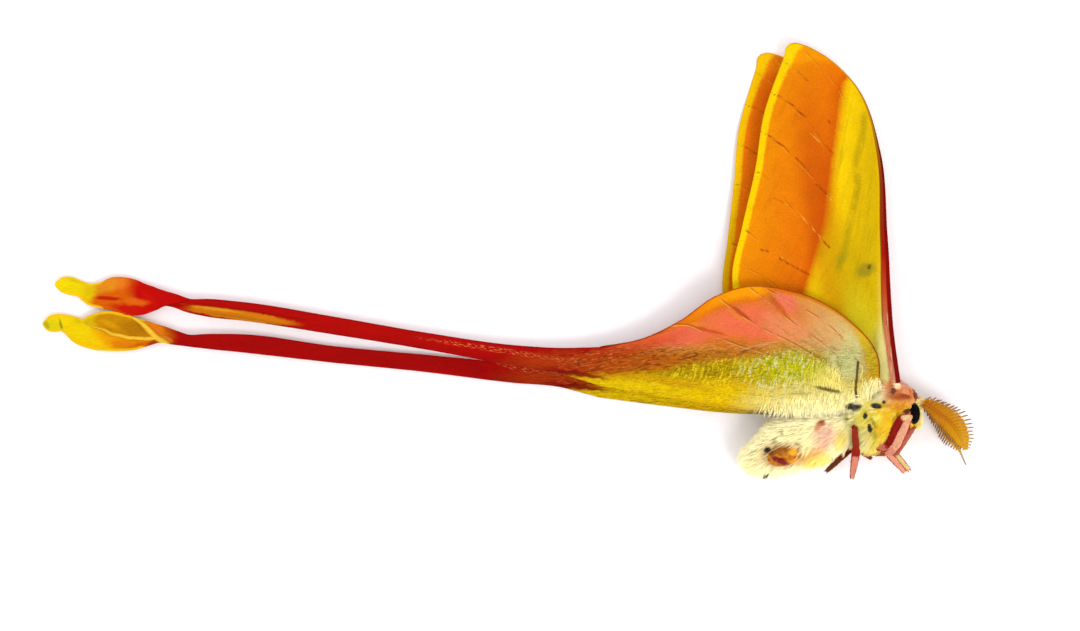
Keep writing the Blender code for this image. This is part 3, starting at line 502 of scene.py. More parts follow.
length = add_node(fur_tree, MATH, {0: fur_in["Tuft length"], 1: ground["long"]}, operation="MULTIPLY")
length_here = add_node(fur_tree, MATH, {0: length, 1: uneven}, operation="MULTIPLY")
width_here = add_node(fur_tree, MATH, {0: fur_in["Tuft width"], 1: uneven}, operation="MULTIPLY")
size_mm = add_node(fur_tree, "ShaderNodeCombineXYZ", {0: width_here, 1: width_here, 2: length_here})
size = add_node(fur_tree, VECTOR_MATH, {0: size_mm, "Scale": MM}, operation="SCALE")
tint = add_node(fur_tree, "FunctionNodeRandomValue", {2: 0.0, 3: 1.0, "Seed": fur_in["Seed"]}, data_type="FLOAT")
flow = roots["Points"]
for layer_name, kind, value in (("root", "FLOAT_VECTOR", here_mm), ("tint", "FLOAT", tint),
                                ("root_map", "FLOAT_VECTOR", ground["unwrap"])):
    flow = add_node(fur_tree, "GeometryNodeStoreNamedAttribute",
                    {"Geometry": flow, "Name": layer_name, "Value": value}, data_type=kind, domain="POINT")
tuft_shape = add_node(fur_tree, "GeometryNodeObjectInfo", {"Object": fur_in["Tuft"]})
grown = add_node(fur_tree, "GeometryNodeInstanceOnPoints",
                 {"Points": flow, "Instance": tuft_shape.outputs["Geometry"], "Rotation": faced, "Scale": size})
real = add_node(fur_tree, "GeometryNodeRealizeInstances", {"Geometry": grown})
bake_place = add_node(fur_tree, VECTOR_MATH,
                      {0: ground["tuft_map"], 1: (PATCH,) * 3, 2: ground["root_map"]}, operation="MULTIPLY_ADD")
mapped = add_node(fur_tree, "GeometryNodeStoreNamedAttribute",
                  {"Geometry": real, "Name": "OFBake", "Value": bake_place}, data_type="FLOAT2", domain="CORNER")
furred = add_node(fur_tree, "GeometryNodeSetMaterial", {"Geometry": mapped, "Material": fur_in["Material"]})
add_node(fur_tree, "NodeGroupOutput", {0: furred})


def grow(piece, name, thick, long, lie, values):
    """Grows tufts on a copy of a piece's mesh, tidies the result and keeps it off the floor."""
    ground_mesh = piece.data.copy()
    keep_values(ground_mesh, "thick", thick)
    keep_values(ground_mesh, "long", long)
    keep_values(ground_mesh, "lie", lie)
    made = made_by(fur_tree, ground_mesh, name, dict(values, Tuft=tuft))
    layers = made.data.attributes
    for layer in ("thick", "long", "lie", "root_map", "tuft_map", "unwrap"):
        if layer in layers:
            layers.remove(layers[layer])
    places = np.zeros(len(made.data.vertices) * 3)
    made.data.vertices.foreach_get("co", places)
    places[2::3] = np.maximum(places[2::3], PRESSED * MM)
    made.data.vertices.foreach_set("co", places)
    made.data.update()
    return made


def fur_material(name, colour_of, tip_code, sheen):
    """Hair-scales: the marking at the root, painted shade towards the root, a paler tip and an uneven tint from tuft
    to tuft.
    """
    fur, tree = new_material(name)
    root, tinted, along = (add_node(tree, ATTRIBUTE, attribute_name=kept).outputs
                           for kept in ("root", "tint", "along"))
    here = add_node(tree, MIX, {0: 0.75, 4: root["Vector"], 5: object_mm(tree)}, data_type="VECTOR")
    ground_colour = colour_of(tree, root["Vector"], here)
    # Painted shade: each tuft is darker towards its root, deep in the fur.
    shade = add_node(tree, MAP_RANGE, {0: along["Fac"], 1: 0.0, 2: 0.5, 3: 0.86, 4: 1.0})
    speck = add_node(tree, MAP_RANGE, {0: tinted["Fac"], 3: 0.88, 4: 1.1})
    both = add_node(tree, MATH, {0: shade, 1: speck}, operation="MULTIPLY")
    darker = add_node(tree, VECTOR_MATH, {0: ground_colour, "Scale": both}, operation="SCALE")
    tip = add_node(tree, MAP_RANGE, {0: along["Fac"], 1: 0.5, 2: 1.0, 3: 0.0, 4: 0.16})
    pale = add_node(tree, MIX, {0: tip, 6: darker, 7: linear(tip_code)}, data_type="RGBA")
    finish_material(tree, pale, fine_grain(tree, 12000.0), 0.006, 0.62, Specular_IOR_Level=0.1,
                    Sheen_Weight=sheen, Sheen_Roughness=0.4)
    return fur


# Moth wool: hollow hair-scales of dry chitin, matt with a soft bright rim.
wool = fur_material("moth_wool", fur_colour, "#FFFBD6", 0.05)

skin_at = np.array([v.co for v in skin.data.vertices]) / MM
nearest = np.argmin(np.abs(skin_at[:, None, 0] - axis[None, :, 0]), axis=1)
backward = forward[nearest]
ahead = smooth(62.2, 63.6, skin_at[:, 0])[:, None]
skin_lie = backward * (1 - ahead) + np.array((0.75, -0.55, 0.0)) * ahead
skin_lie += np.array((0.0, -0.25, 0.0)) * (1 - ahead)
skin_lie /= np.linalg.norm(skin_lie, axis=1)[:, None]
head_part = smooth(60.9, 61.5, skin_at[:, 0])
tail_part = 1 - smooth(52.4, 53.0, skin_at[:, 0])
chest_part = (1 - head_part) * (1 - tail_part)
upper = smooth(1.2, 3.0, skin_at[:, 2])
bare = np.exp(-(((skin_at[:, 0] - 49.8) / 1.5) ** 2 + ((skin_at[:, 1] + 27.1) / 1.9) ** 2)) * (skin_at[:, 2] > 6)
horn = np.exp(-(((skin_at[:, 0] - 43.6) / 3.4) ** 2 + ((skin_at[:, 1] + 30.3) / 2.1) ** 2)) * (skin_at[:, 2] > 5)
cover = (0.12 + 0.88 * upper) * (1 - 0.8 * bare) * (1 - 0.97 * np.minimum(1.6 * horn, 1.0))
eye_clear = np.exp(-(((skin_at[:, 0] - 63.9) / 0.75) ** 2 + ((skin_at[:, 1] + 23.7) / 1.7) ** 2
                     + ((np.abs(skin_at[:, 2] - 4.3) - 2.0) / 1.3) ** 2))
tip_top = (1 - smooth(39.5, 43.0, skin_at[:, 0])) * smooth(-30.5, -28.0, skin_at[:, 1])
long_here = (1.0 + 0.25 * (1 - smooth(37.6, 40.0, skin_at[:, 0])) - 0.45 * head_part - 0.35 * bare
             - 0.25 * (1 - upper) - 0.45 * tip_top)
# Name, part of the body, node and slot; then tufts per square millimetre, length, width, lift, lock size and pull.
for seed, (coat_name, part, node, slot, *shape) in enumerate((
    ("chest_fur_long", chest_part, "thorax", "fur_yellow", 52.0, 1.75, 0.13, 0.62, 0.9, 1.5),
    ("chest_fur_short", chest_part, "thorax", "fur_yellow", 52.0, 1.1, 0.12, 0.9, 0.5, 1.3),
    ("head_fur", head_part * (1 - 0.97 * np.minimum(1.5 * eye_clear, 1.0)), "head", "fur_yellow",
     85.0, 1.35, 0.12, 0.7, 0.8, 1.9),
    ("abdomen_fur_long", tail_part, "abdomen", "fur_cream", 34.0, 2.0, 0.14, 0.42, 1.1, 1.2),
    ("abdomen_fur_short", tail_part, "abdomen", "fur_cream", 34.0, 1.3, 0.13, 0.6, 0.6, 1.0),
), start=3):
    coat = grow(skin, coat_name, part * cover, long_here, skin_lie,
                dict(zip(FUR_SHAPE, shape), Seed=seed, Material=wool))
    place(coat, slot, node)
place(skin, "fur_yellow", "thorax", "head", "abdomen")

# Forewings.
# Stiff membrane on branching veins, covered with tiny scales: dark red along the front edge, then yellow, an
# orange band and a yellow outer edge. The right one lies over the left one, which peeps out beside it.
SHARP_FROM = math.radians(50)
WING_THICK = 0.14
COSTA_THICK = 0.42
VEIN_RISE = 0.09
VEIN_WIDE = 0.15
FOREWING_COSTA = ((61.2, -19.0), (60.3, -12.0), (59.4, 4.0), (58.4, 16.9), (54.8, 27.1), (48.9, 32.5), (46.5, 33.65),
                  (45.2, 33.97), (44.35, 33.84))
FOREWING_OUTER = ((44.35, 33.84), (43.8, 33.35), (43.5, 32.0), (42.6, 29.6), (40.3, 22.9), (38.9, 14.3),
                  (36.7, 4.8), (35.2, -2.5), (35.4, -5.8))
FOREWING_INNER = ((57.4, -20.4), (50.0, -16.4), (42.0, -11.0), (35.4, -5.8))
FOREWING_VEINS = (
    ((60.2, -18.5), (58.9, -8.0), (57.6, 6.0), (55.6, 18.0), (51.6, 27.3), (46.8, 32.6)),
    ((59.6, -18.6), (57.0, -10.5), (55.9, -1.5), (54.4, 12.0), (51.0, 23.0), (47.0, 28.2), (43.3, 31.2)),
    ((55.6, -1.0), (53.6, 7.5), (50.6, 16.0), (46.6, 22.1), (41.4, 26.2)),
    ((55.3, -2.0), (53.4, 3.6), (50.2, 9.8), (47.3, 13.5), (44.4, 16.4), (42.3, 18.7), (39.8, 20.0)),
    ((55.0, -3.2), (52.6, -1.2), (49.1, 3.2), (43.6, 9.1), (41.0, 12.4), (38.8, 14.0)),
    ((58.9, -18.8), (55.2, -8.0), (51.0, -4.4), (47.1, -2.2), (42.5, 0.4), (37.4, 4.6)),
    ((58.4, -19.4), (52.0, -12.5), (45.0, -6.6), (39.0, -2.0), (35.6, -0.6)),
    ((56.3, -1.2), (55.6, -2.0), (54.9, -3.2)),
)
# Grooved creases of the dried wing, painted darker as painted shade.
SHADED_CREASES = (
    ((41.66, 26.18), (44.4, 24.5), (46.7, 22.3)), ((40.6, 19.7), (42.9, 18.0), (44.2, 16.9)),
    ((45.2, 15.9), (46.7, 14.4)), ((48.4, 11.8), (50.2, 10.0)), ((42.6, 0.2), (44.8, -1.1), (47.1, -2.3)),
    ((45.5, 29.2), (47.1, 28.1)), ((50.3, 21.9), (50.6, 21.4)), ((49.9, 18.0), (51.0, 16.5)),
    ((49.4, 2.9), (50.4, 1.9)), ((41.9, 9.7), (43.2, 8.9)), ((39.6, 1.6), (40.8, 1.3)),
)
# Raised creases, painted lighter as painted highlight.
LIT_CREASES = (
    ((42.9, 17.8), (45.0, 16.4), (46.9, 14.7)), ((43.7, 8.97), (46.4, 6.4), (49.2, 3.28)),
    ((50.0, 10.1), (50.9, 9.1)), ((42.9, 0.4), (43.9, -0.2)), ((47.4, 20.0), (48.9, 18.4)),
)
BAND_EDGE = ((45.5, -9.0), (46.8, -4.4), (49.6, 4.5), (50.7, 12.3), (51.8, 20.1), (52.9, 27.8), (55.5, 30.5),
             (62.0, 31.5))
OLIVE_STREAK = ((55.9, 22.5), (55.6, 19.5), (54.6, 15.5), (54.8, 11.5), (53.6, 6.0), (52.8, 2.0), (51.6, -1.5))
COSTA_STRIPE = ((-19.0, 1.5), (-12.0, 1.45), (-1.2, 1.15), (8.0, 0.85), (15.0, 0.6), (20.0, 0.35), (25.0, 0.2),
                (32.0, 0.1))
MARGIN_STRIPE = ((-6.0, 0.85), (5.0, 0.95), (20.0, 1.0), (28.0, 1.15), (32.0, 1.6), (34.0, 2.0))
# Colour, centre, half sizes, turn, softness and strength of each marking in plan.
FOREWING_MARKS = (
    ("#D2AE00", (53.0, -1.0), (3.4, 5.5), 15.0, 0.5, 0.6),
    ("#DCCA1C", (55.6, -12.0), (2.4, 7.0), 12.0, 0.5, 0.8),
    ("#C9C048", (58.0, -15.0), (1.3, 4.5), 6.0, 0.5, 0.8),
)
FOREWING_SPOTS = (
    ("#97881A", (56.0, -1.6), (1.5, 1.0), 25.0, 0.5, 0.75),
    ("#A89A10", (52.4, 0.2), (1.2, 0.6), 55.0, 0.5, 0.6),
    ("#4E4408", (56.5, -1.1), (0.26, 0.42), -20.0, 0.5, 0.75),
)
# Colour, centre, half sizes and turn of each group of streaks; then their heading, width, length, the noise where
# they begin and are full, and their strength.
FOREWING_STREAKS = (
    ("#B49A04", (55.5, 6.0), (3.4, 20.0), 7.0, 78.0, 0.6, 6.0, 0.5, 0.75, 0.4),
    ("#D05800", (45.0, 10.0), (6.5, 22.0), 10.0, 62.0, 1.2, 6.0, 0.5, 0.8, 0.3),
)
COSTA_STREAKS = (
    ("#F0C890", (59.9, -13.5), (0.7, 6.0), 4.0, 94.0, 0.22, 2.4, 0.52, 0.62, 0.8),
    ("#8E2A0A", (59.7, -10.5), (0.8, 7.0), 4.0, 94.0, 0.2, 2.6, 0.56, 0.66, 0.8),
)
# The colours beside the front edge, inside it and on it, from the hinge to the tip.
COSTA_BESIDE = ((0.0, "#EBD67C"), (0.25, "#E8CC50"), (0.4, "#F0BC00"), (1.0, "#F0B400"))
COSTA_INSIDE = ((0.0, "#D58C6C"), (0.2, "#D57A50"), (0.36, "#C8481A"), (0.5, "#A81404"), (0.8, "#8E3A08"),
                (1.0, "#C88A10"))
COSTA_EDGE = ((0.0, "#7E0A06"), (0.35, "#8E0402"), (0.7, "#6E0602"), (0.82, "#8A4A08"), (0.92, "#C88A10"),
              (1.0, "#E89A08"))
FOREWING_PIVOT = (59.3, -19.2)
LEFT_FOREWING_TURN = math.radians(4.7)
FOREWING_REACH = 53.0
FOREWING_HINGE_Y = -19.0
FOREWING_GRID = (220, 104)


def wing_plan(costa, outer, inner, rows, columns):
    """A grid of points between three edges, from the hinge to the outer edge and from front to rear."""
    s = np.linspace(0, 1, rows)
    t = np.linspace(0, 1, columns)
    front_edge, rear_edge, far_edge = costa(s), inner(s), outer(t)
    hinge = (1 - t)[:, None] * front_edge[0] + t[:, None] * rear_edge[0]
    end = (1 - t)[:, None] * front_edge[-1] + t[:, None] * rear_edge[-1]
    along = (1 - t)[None, :, None] * front_edge[:, None] + t[None, :, None] * rear_edge[:, None]
    blend = s[:, None, None]
    across = (1 - blend) * hinge[None] + blend * far_edge[None]
    return along + across - ((1 - blend) * hinge[None] + blend * end[None])


def distance_to(places, line):
    """How far places lie from a line of points, in plan."""
    line = np.asarray(line, float)
    best = np.full(places.shape[:-1], 1e9)
    for a, b in zip(line[:-1], line[1:]):
        step = b - a
        share = np.clip(((places - a) @ step) / (step @ step), 0, 1)
        best = np.minimum(best, np.linalg.norm(places - a - share[..., None] * step, axis=-1))
    return best


def nearest_of(places, lines):
    """How far places lie from the nearest of several lines, and on which side of it, as a signed distance."""
    apart = np.stack([distance_to(places, line) for line in lines])
    closest = np.argmin(apart, axis=0)
    best = np.min(apart, axis=0)
    sign = np.ones(best.shape)
    for i, line in enumerate(lines):
        line = np.asarray(line, float)
        middles = (line[1:] + line[:-1]) / 2
        which = np.argmin(np.linalg.norm(places[..., None, :] - middles, axis=-1), axis=-1)
        step = (line[1:] - line[:-1])[which]
        offset = places - middles[which]
        side = np.sign(step[..., 0] * offset[..., 1] - step[..., 1] * offset[..., 0])
        sign = np.where(closest == i, side, sign)
    return best, best * sign


def rough(places, size, seed):
    """Smooth random heights, about -1 to 1, over points in millimetres."""
    flat = places.reshape(-1, places.shape[-1]) / size
    heights = [noise.noise((p[0], p[1], seed)) for p in flat]
    return np.array(heights).reshape(places.shape[:-1])


def turned(places, pivot, angle):
    """Plan points turned about a pivot."""
    c, s = math.cos(angle), math.sin(angle)
    offset = places - np.array(pivot)
    return np.stack([c * offset[..., 0] - s * offset[..., 1], s * offset[..., 0] + c * offset[..., 1]],
                    axis=-1) + np.array(pivot)


def sheet(name, middle, thickness, values):
    """A thin closed sheet about a grid of middle points, with values stored on both of its faces."""
    rows, columns = middle.shape[:2]
    normal = np.cross(np.gradient(middle, axis=0), np.gradient(middle, axis=1))
    normal /= np.maximum(np.linalg.norm(normal, axis=2), 1e-9)[:, :, None]
    half = normal * np.broadcast_to(thickness, middle.shape[:2])[:, :, None] / 2
    points = np.concatenate([(middle + half).reshape(-1, 3), (middle - half).reshape(-1, 3)])
    count = rows * columns
    index = np.arange(count).reshape(rows, columns)
    a, b, c, d = index[:-1, :-1], index[1:, :-1], index[1:, 1:], index[:-1, 1:]
    faces = np.stack([a, b, c, d], axis=-1).reshape(-1, 4).tolist()
    faces += (np.stack([d, c, b, a], axis=-1).reshape(-1, 4) + count).tolist()
    rim = np.concatenate([index[0, :], index[1:, -1], index[-1, -2::-1], index[-2:0:-1, 0]])
    for one, two in zip(rim, np.roll(rim, -1)):
        faces.append((int(one), int(two), int(two) + count, int(one) + count))
    made = link_mesh(name, points, faces)
    made.data.set_sharp_from_angle(angle=SHARP_FROM)
    for value_name, field in values.items():
        field = np.asarray(field, float)
        field = field.reshape(count, -1) if field.ndim == 3 else field.reshape(count)
        keep_values(made.data, value_name, np.concatenate([field, field]))
    unroll = made.data.uv_layers.new(name="unwrap")
    corner_points = np.zeros(len(made.data.loops), int)
    made.data.loops.foreach_get("vertex_index", corner_points)
    on_sheet = corner_points % count
    low_side = corner_points >= count
    across_share = (on_sheet % columns) / (columns - 1)
    u = 0.01 + 0.47 * across_share + 0.5 * low_side
    v = 0.01 + 0.98 * (on_sheet // columns) / (rows - 1)
    unroll.data.foreach_set("uv", np.stack([u, v], axis=1).ravel())
    return made


def graded(tree, measure, low, high, stops):
    """Colours that change along a measure; stops are shares from low to high with hex values."""
    share_along = add_node(tree, MAP_RANGE, {0: measure, 1: low, 2: high})
    ramp = add_node(tree, "ShaderNodeValToRGB", {0: share_along})
    while len(ramp.color_ramp.elements) < len(stops):
        ramp.color_ramp.elements.new(0.5)
    for element, (position, code) in zip(ramp.color_ramp.elements, stops):
        element.position = position
        element.color = linear(code)
    return ramp


def lined(tree, below, code, measure, near, far, strength=1.0, broken=None):
    """Lays a colour over another where a distance is small, and only here and there if broken by a grain."""
    mask = add_node(tree, MAP_RANGE, {0: measure, 1: near, 2: far, 3: strength, 4: 0.0},
                    interpolation_type="SMOOTHSTEP")
    if broken is not None:
        mask = add_node(tree, MATH, {0: mask, 1: broken}, operation="MULTIPLY")
    above = linear(code) if isinstance(code, str) else code
    return add_node(tree, MIX, {0: mask, 6: below, 7: above}, data_type="RGBA")


def relief_line(tree, below, dark_code, light_code, side, near_line, strength, broken):
    """A raised vein as light and shade: a dark line on one side of it and a light one on the other."""
    here = add_node(tree, MAP_RANGE, {0: near_line, 1: 0.75, 2: 0.45})
    shown = add_node(tree, MATH, {0: here, 1: broken}, operation="MULTIPLY")
    for code, offset in ((dark_code, 0.04), (light_code, -0.17)):
        moved = add_node(tree, MATH, {0: side, 1: offset}, operation="ADD")
        apart = add_node(tree, MATH, {0: moved}, operation="ABSOLUTE")
        below = lined(tree, below, code, apart, 0.03, 0.13, strength, shown)
    return below


def patchy(tree, at, size, low, high):
    """A mask of soft patches, about so many millimetres across."""
    clouds = add_node(tree, NOISE, {"Vector": at, "Scale": 1 / size, "Detail": 2.0})
    return add_node(tree, MAP_RANGE, {0: clouds, 1: low, 2: high}, interpolation_type="SMOOTHSTEP")


def streaked(tree, colour, at, streaks):
    """Lays fine streaks over a colour inside soft ovals, each with its heading from +X in degrees."""
    for code, centre, half, turned_by, heading, across, along, low, high, strength in streaks:
        lined_up = add_node(tree, "ShaderNodeVectorRotate", {"Vector": at, "Angle": -math.radians(heading)},
                            rotation_type="Z_AXIS")
        drawn_out = add_node(tree, VECTOR_MATH,
                             {0: lined_up, 1: (1 / along, 1 / across, 1 / across)}, operation="MULTIPLY")
        hairs = add_node(tree, NOISE, {"Vector": drawn_out, "Scale": 1.0, "Detail": 2.0})
        hair_mask = add_node(tree, MAP_RANGE, {0: hairs, 1: low, 2: high, 4: strength},
                             interpolation_type="SMOOTHSTEP")
        far = oval_distance(tree, at, centre, half, turned_by)
        zone = add_node(tree, MAP_RANGE, {0: far, 1: 1.3, 2: 0.7}, interpolation_type="SMOOTHSTEP")
        mask = add_node(tree, MATH, {0: zone, 1: hair_mask}, operation="MULTIPLY")
        colour = add_node(tree, MIX, {0: mask, 6: colour, 7: linear(code)}, data_type="RGBA")
    return colour


def scaled_surface(tree, colour, plan, roughness, tone=0.7, wrinkles=None):
    """Wing scales: a fine mottled grain and a soft dry bloom over the colour, and wrinkles if given."""
    grain = add_node(tree, NOISE, {"Vector": plan, "Scale": 3.2, "Detail": 4.0, "Roughness": 0.65})
    cloud = add_node(tree, NOISE, {"Vector": plan, "Scale": 0.45, "Detail": 2.0})
    fine = add_node(tree, MAP_RANGE, {0: grain, 1: 0.25, 2: 0.75, 3: 0.85 * tone, 4: 1.15 * tone})
    broad = add_node(tree, MAP_RANGE, {0: cloud, 1: 0.3, 2: 0.7, 3: 0.94, 4: 1.04})
    both = add_node(tree, MATH, {0: fine, 1: broad}, operation="MULTIPLY")
    toned = add_node(tree, VECTOR_MATH, {0: colour, "Scale": both}, operation="SCALE")
    height = grain
    if wrinkles is not None:
        height = add_node(tree, MATH, {0: wrinkles, 1: height}, operation="ADD")
    finish_material(tree, toned, height, 0.05, roughness, Specular_IOR_Level=0.04,
                    Sheen_Weight=0.02, Sheen_Roughness=0.5)


def forewing_material(name, margin_code, edge_code, band_depth, shade, tone, stops):
    """Scaled membrane: flat dry colour in broad bands, with raised veins and creases, and painted light and shade
    along them.
    """
    made, tree = new_material(name)
    plan = add_node(tree, ATTRIBUTE, attribute_name="plan").outputs["Vector"]
    kept = {value: add_node(tree, ATTRIBUTE, attribute_name=value).outputs["Fac"]
            for value in ("band", "margin", "costa", "streak", "vein_side", "vein_shown", "vein_end",
                          "shaded_crease", "lit_crease")}
    shifted = ragged(tree, plan, 0.7, 0.25)
    moved = add_node(tree, VECTOR_MATH, {0: shifted, 1: plan}, operation="SUBTRACT")
    wobble = add_node(tree, "ShaderNodeSeparateXYZ", {0: moved})
    band = add_node(tree, MATH, {0: kept["band"], 1: wobble.outputs["X"]}, operation="ADD")
    margin = add_node(tree, MATH, {0: kept["margin"], 1: wobble.outputs["Y"]}, operation="ADD")
    at_y = add_node(tree, "ShaderNodeSeparateXYZ", {0: plan}).outputs["Y"]
    costa = kept["costa"]
    colour = graded(tree, band, -14.0, 10.0, stops)
    colour = spotted(tree, colour, "#C44600", shifted, (49.0, 8.0), (2.4, 15.0), 8.0, 0.7, band_depth)
    colour = marked(tree, colour, FOREWING_MARKS, shifted)
    colour = lined(tree, colour, "#9A8A04", kept["streak"], 0.05, 1.0, 0.5, patchy(tree, plan, 2.2, 0.25, 0.55))
    colour = streaked(tree, colour, plan, FOREWING_STREAKS)
    colour = marked(tree, colour, FOREWING_SPOTS, shifted)
    colour = relief_line(tree, colour, "#A84400", "#FFAE30", kept["vein_side"], kept["vein_shown"], 0.3,
                         patchy(tree, plan, 3.0, 0.44, 0.58))
    # Painted shade in the grooved creases and painted highlight on the raised ones.
    colour = lined(tree, colour, "#A04200", kept["shaded_crease"], 0.05, 0.26, 0.85, patchy(tree, plan, 0.7, 0.2, 0.5))
    colour = lined(tree, colour, "#FFBE48", kept["lit_crease"], 0.03, 0.16, 0.75, patchy(tree, plan, 0.9, 0.2, 0.5))
    colour = lined(tree, colour, margin_code, margin, 0.78, 1.3)
    colour = lined(tree, colour, "#8A5A00", kept["vein_end"], 0.05, 0.2, 0.7)
    colour = lined(tree, colour, edge_code, kept["margin"], 0.04, 0.16, 0.5)
    beside = graded(tree, at_y, -20.0, 30.0, COSTA_BESIDE)
    colour = lined(tree, colour, beside, costa, 1.3, 1.9, 0.8)
    colour = lined(tree, colour, "#6E3208", costa, 1.12, 1.3, 0.9)
    colour = spotted(tree, colour, "#F0E690", shifted, (58.7, -16.2), (0.8, 5.5), 4.0, 0.5, 0.85)
    colour = lined(tree, colour, graded(tree, at_y, -20.0, 22.0, COSTA_INSIDE), costa, 0.98, 1.12)
    colour = streaked(tree, colour, plan, COSTA_STREAKS)
    colour = lined(tree, colour, graded(tree, at_y, -20.0, 32.0, COSTA_EDGE), costa, 0.42, 0.6)
    # Painted shade: a copy with a shade above 0 is mixed that much towards olive brown.
    below = add_node(tree, MIX, {0: shade, 6: colour, 7: linear("#C08A08")}, data_type="RGBA")
    scaled_surface(tree, below, plan, 0.72, tone)
    return made


def forewing(name, height, angle, bulge, surface):
    """One forewing with its values, turned about its hinge, its outer edge let out by a bulge."""
    plan = wing_plan(through(FOREWING_COSTA), through(FOREWING_OUTER), through(FOREWING_INNER), *FOREWING_GRID)
    margin = distance_to(plan, sampled(FOREWING_OUTER))
    costa = distance_to(plan, sampled(FOREWING_COSTA))
    lines = [sampled(v, 24) for v in FOREWING_VEINS]
    vein, vein_side = nearest_of(plan, lines)
    ends = [np.array([line[-1], line[-1] + 0.9 * (line[-3] - line[-1]) / np.linalg.norm(line[-3] - line[-1])])
            for line in lines[1:-1]]
    vein_end = np.min([distance_to(plan, end) for end in ends], axis=0)
    edge = np.array(BAND_EDGE)
    band = plan[..., 0] - np.interp(plan[..., 1], edge[:, 1], edge[:, 0])
    stripe = np.array(COSTA_STRIPE)
    stripe_wide = np.interp(plan[..., 1], stripe[:, 0], stripe[:, 1])
    streak = distance_to(plan, sampled(OLIVE_STREAK, 30))
    shaded_crease = np.min([distance_to(plan, crease) for crease in SHADED_CREASES], axis=0)
    lit_crease = np.min([distance_to(plan, crease) for crease in LIT_CREASES], axis=0)
    stripe = np.array(MARGIN_STRIPE)
    margin_wide = np.interp(plan[..., 1], stripe[:, 0], stripe[:, 1])
    in_yellow = smooth(-0.8, 0.8, band)
    placed = turned(plan, FOREWING_PIVOT, angle)
    placed[..., 0] -= bulge * np.exp(-((placed[..., 1] - 14.0) / 10.0) ** 2 - (margin / 4.0) ** 2)
    far = np.clip((placed[..., 1] - FOREWING_HINGE_Y) / FOREWING_REACH, 0, 1)
    z = height(far)
    z = z + VEIN_RISE * np.exp(-(vein / VEIN_WIDE) ** 2) * smooth(0.0, 0.5, margin) * (1 - 0.6 * in_yellow)
    z = z - 0.08 * np.exp(-(shaded_crease / 0.2) ** 2) + 0.06 * np.exp(-(lit_crease / 0.15) ** 2)
    z = z + 0.16 * rough(plan, 5.0, 1.3) + 0.04 * rough(plan, 1.6, 5.1)
    middle = np.concatenate([placed, z[..., None]], axis=-1)
    thickness = WING_THICK + (COSTA_THICK - WING_THICK) * np.exp(-(costa / 0.55) ** 2) * smooth(-0.2, 1.5, margin)
    thickness = thickness * (0.3 + 0.7 * smooth(0.0, 0.4, margin))
    flat = np.concatenate([plan, np.zeros_like(z)[..., None]], axis=-1)
    made = sheet(name, middle, thickness,
                 {"plan": flat, "margin": margin / margin_wide, "costa": costa / stripe_wide, "vein_side": vein_side,
                  "vein_shown": vein + 0.6 * in_yellow, "vein_end": vein_end, "band": band, "streak": streak,
                  "shaded_crease": shaded_crease, "lit_crease": lit_crease})
    made.data.materials.append(surface)
    return made


bright_scales = forewing_material(
    "bright_wing_scales", "#FFD600", "#E8B400", 0.55, 0.0, 0.7,
    ((0.0, "#F99C00"), (0.25, "#F08600"), (0.5, "#EA7400"), (0.558, "#DE6200"), (0.602, "#F4BC00"),
     (0.64, "#FCD400"), (0.73, "#F0C400"), (0.84, "#DCB600"), (1.0, "#DCBA00")))
# The left forewing lies under the right one and has its own copy of the colours: darker and more olive as painted
# shade of the right wing, with a higher tone that brightens it as painted light where the right wing's rendered shadow
# falls.
painted_light_forewing_scales = forewing_material(
    "painted_light_wing_scales", "#DCAE00", "#B88E00", 0.0, 0.06, 1.02,
    ((0.0, "#DC7606"), (0.25, "#D66002"), (0.5, "#CC4C00"), (0.558, "#BC4400"), (0.602, "#C89A00"),
     (0.64, "#C8B000"), (0.73, "#B8A800"), (0.84, "#A89800"), (1.0, "#A8A000")))
right_forewing = forewing("forewing_right_scaled", lambda far: 6.85 - 5.0 * far + 1.05 * far ** 2, 0.0, 0.0,
                          bright_scales)
left_forewing = forewing("forewing_left_scaled", lambda far: 1.6 - 1.35 * smooth(0.4, 0.9, far),
                         LEFT_FOREWING_TURN, 0.45, painted_light_forewing_scales)
place(right_forewing, "wing_orange", "forewing_right")
place(left_forewing, "wing_orange", "forewing_left")

# Hindwings.
# The same scaled membrane, drawn out into a tail. The underside is orange and salmon above, dark red towards
# the tail, yellow-green in the middle and yellow below, crumpled by drying and hairy beside the body.
HINDWING_COSTA = ((57.9, -19.5), (57.6, -15.0), (52.6, -8.9), (47.6, -5.9), (42.0, -4.3))
HINDWING_OUTER = ((42.0, -4.3), (37.5, -4.1), (32.4, -5.7), (27.1, -9.4), (21.0, -12.3), (14.6, -13.5))
HINDWING_INNER = ((53.9, -22.9), (45.8, -23.6), (36.0, -23.15), (25.2, -21.5), (14.6, -19.6))
HINDWING_VEINS = (
    ((55.4, -19.6), (53.2, -13.6), (48.2, -8.9), (43.4, -6.2), (40.5, -4.6)),
    ((55.2, -20.0), (50.2, -14.0), (43.4, -8.9), (41.0, -6.7), (38.0, -4.5)),
    ((55.0, -20.4), (46.0, -13.8), (38.4, -9.8), (34.8, -7.3), (33.2, -6.0)),
    ((54.8, -20.7), (44.0, -15.8), (35.5, -13.0), (31.4, -11.4), (27.8, -10.0), (25.6, -10.2)),
    ((54.6, -21.0), (42.0, -17.9), (31.0, -15.9), (22.0, -14.2), (15.0, -14.4)),
    ((54.4, -21.3), (41.0, -19.7), (29.0, -18.4), (21.0, -16.9), (14.4, -16.2)),
    ((54.2, -21.8), (42.0, -21.4), (30.0, -20.4), (21.0, -19.0), (14.4, -17.6)),
)
ROOT_LINE = ((54.45, -15.8), (54.25, -18.2), (54.1, -19.8), (53.95, -21.6))
HINDWING_FOLDS = (((14.8, -19.2), (18.0, -19.8), (21.5, -20.3)), ((46.6, -19.3), (48.9, -19.9), (51.3, -20.5)))
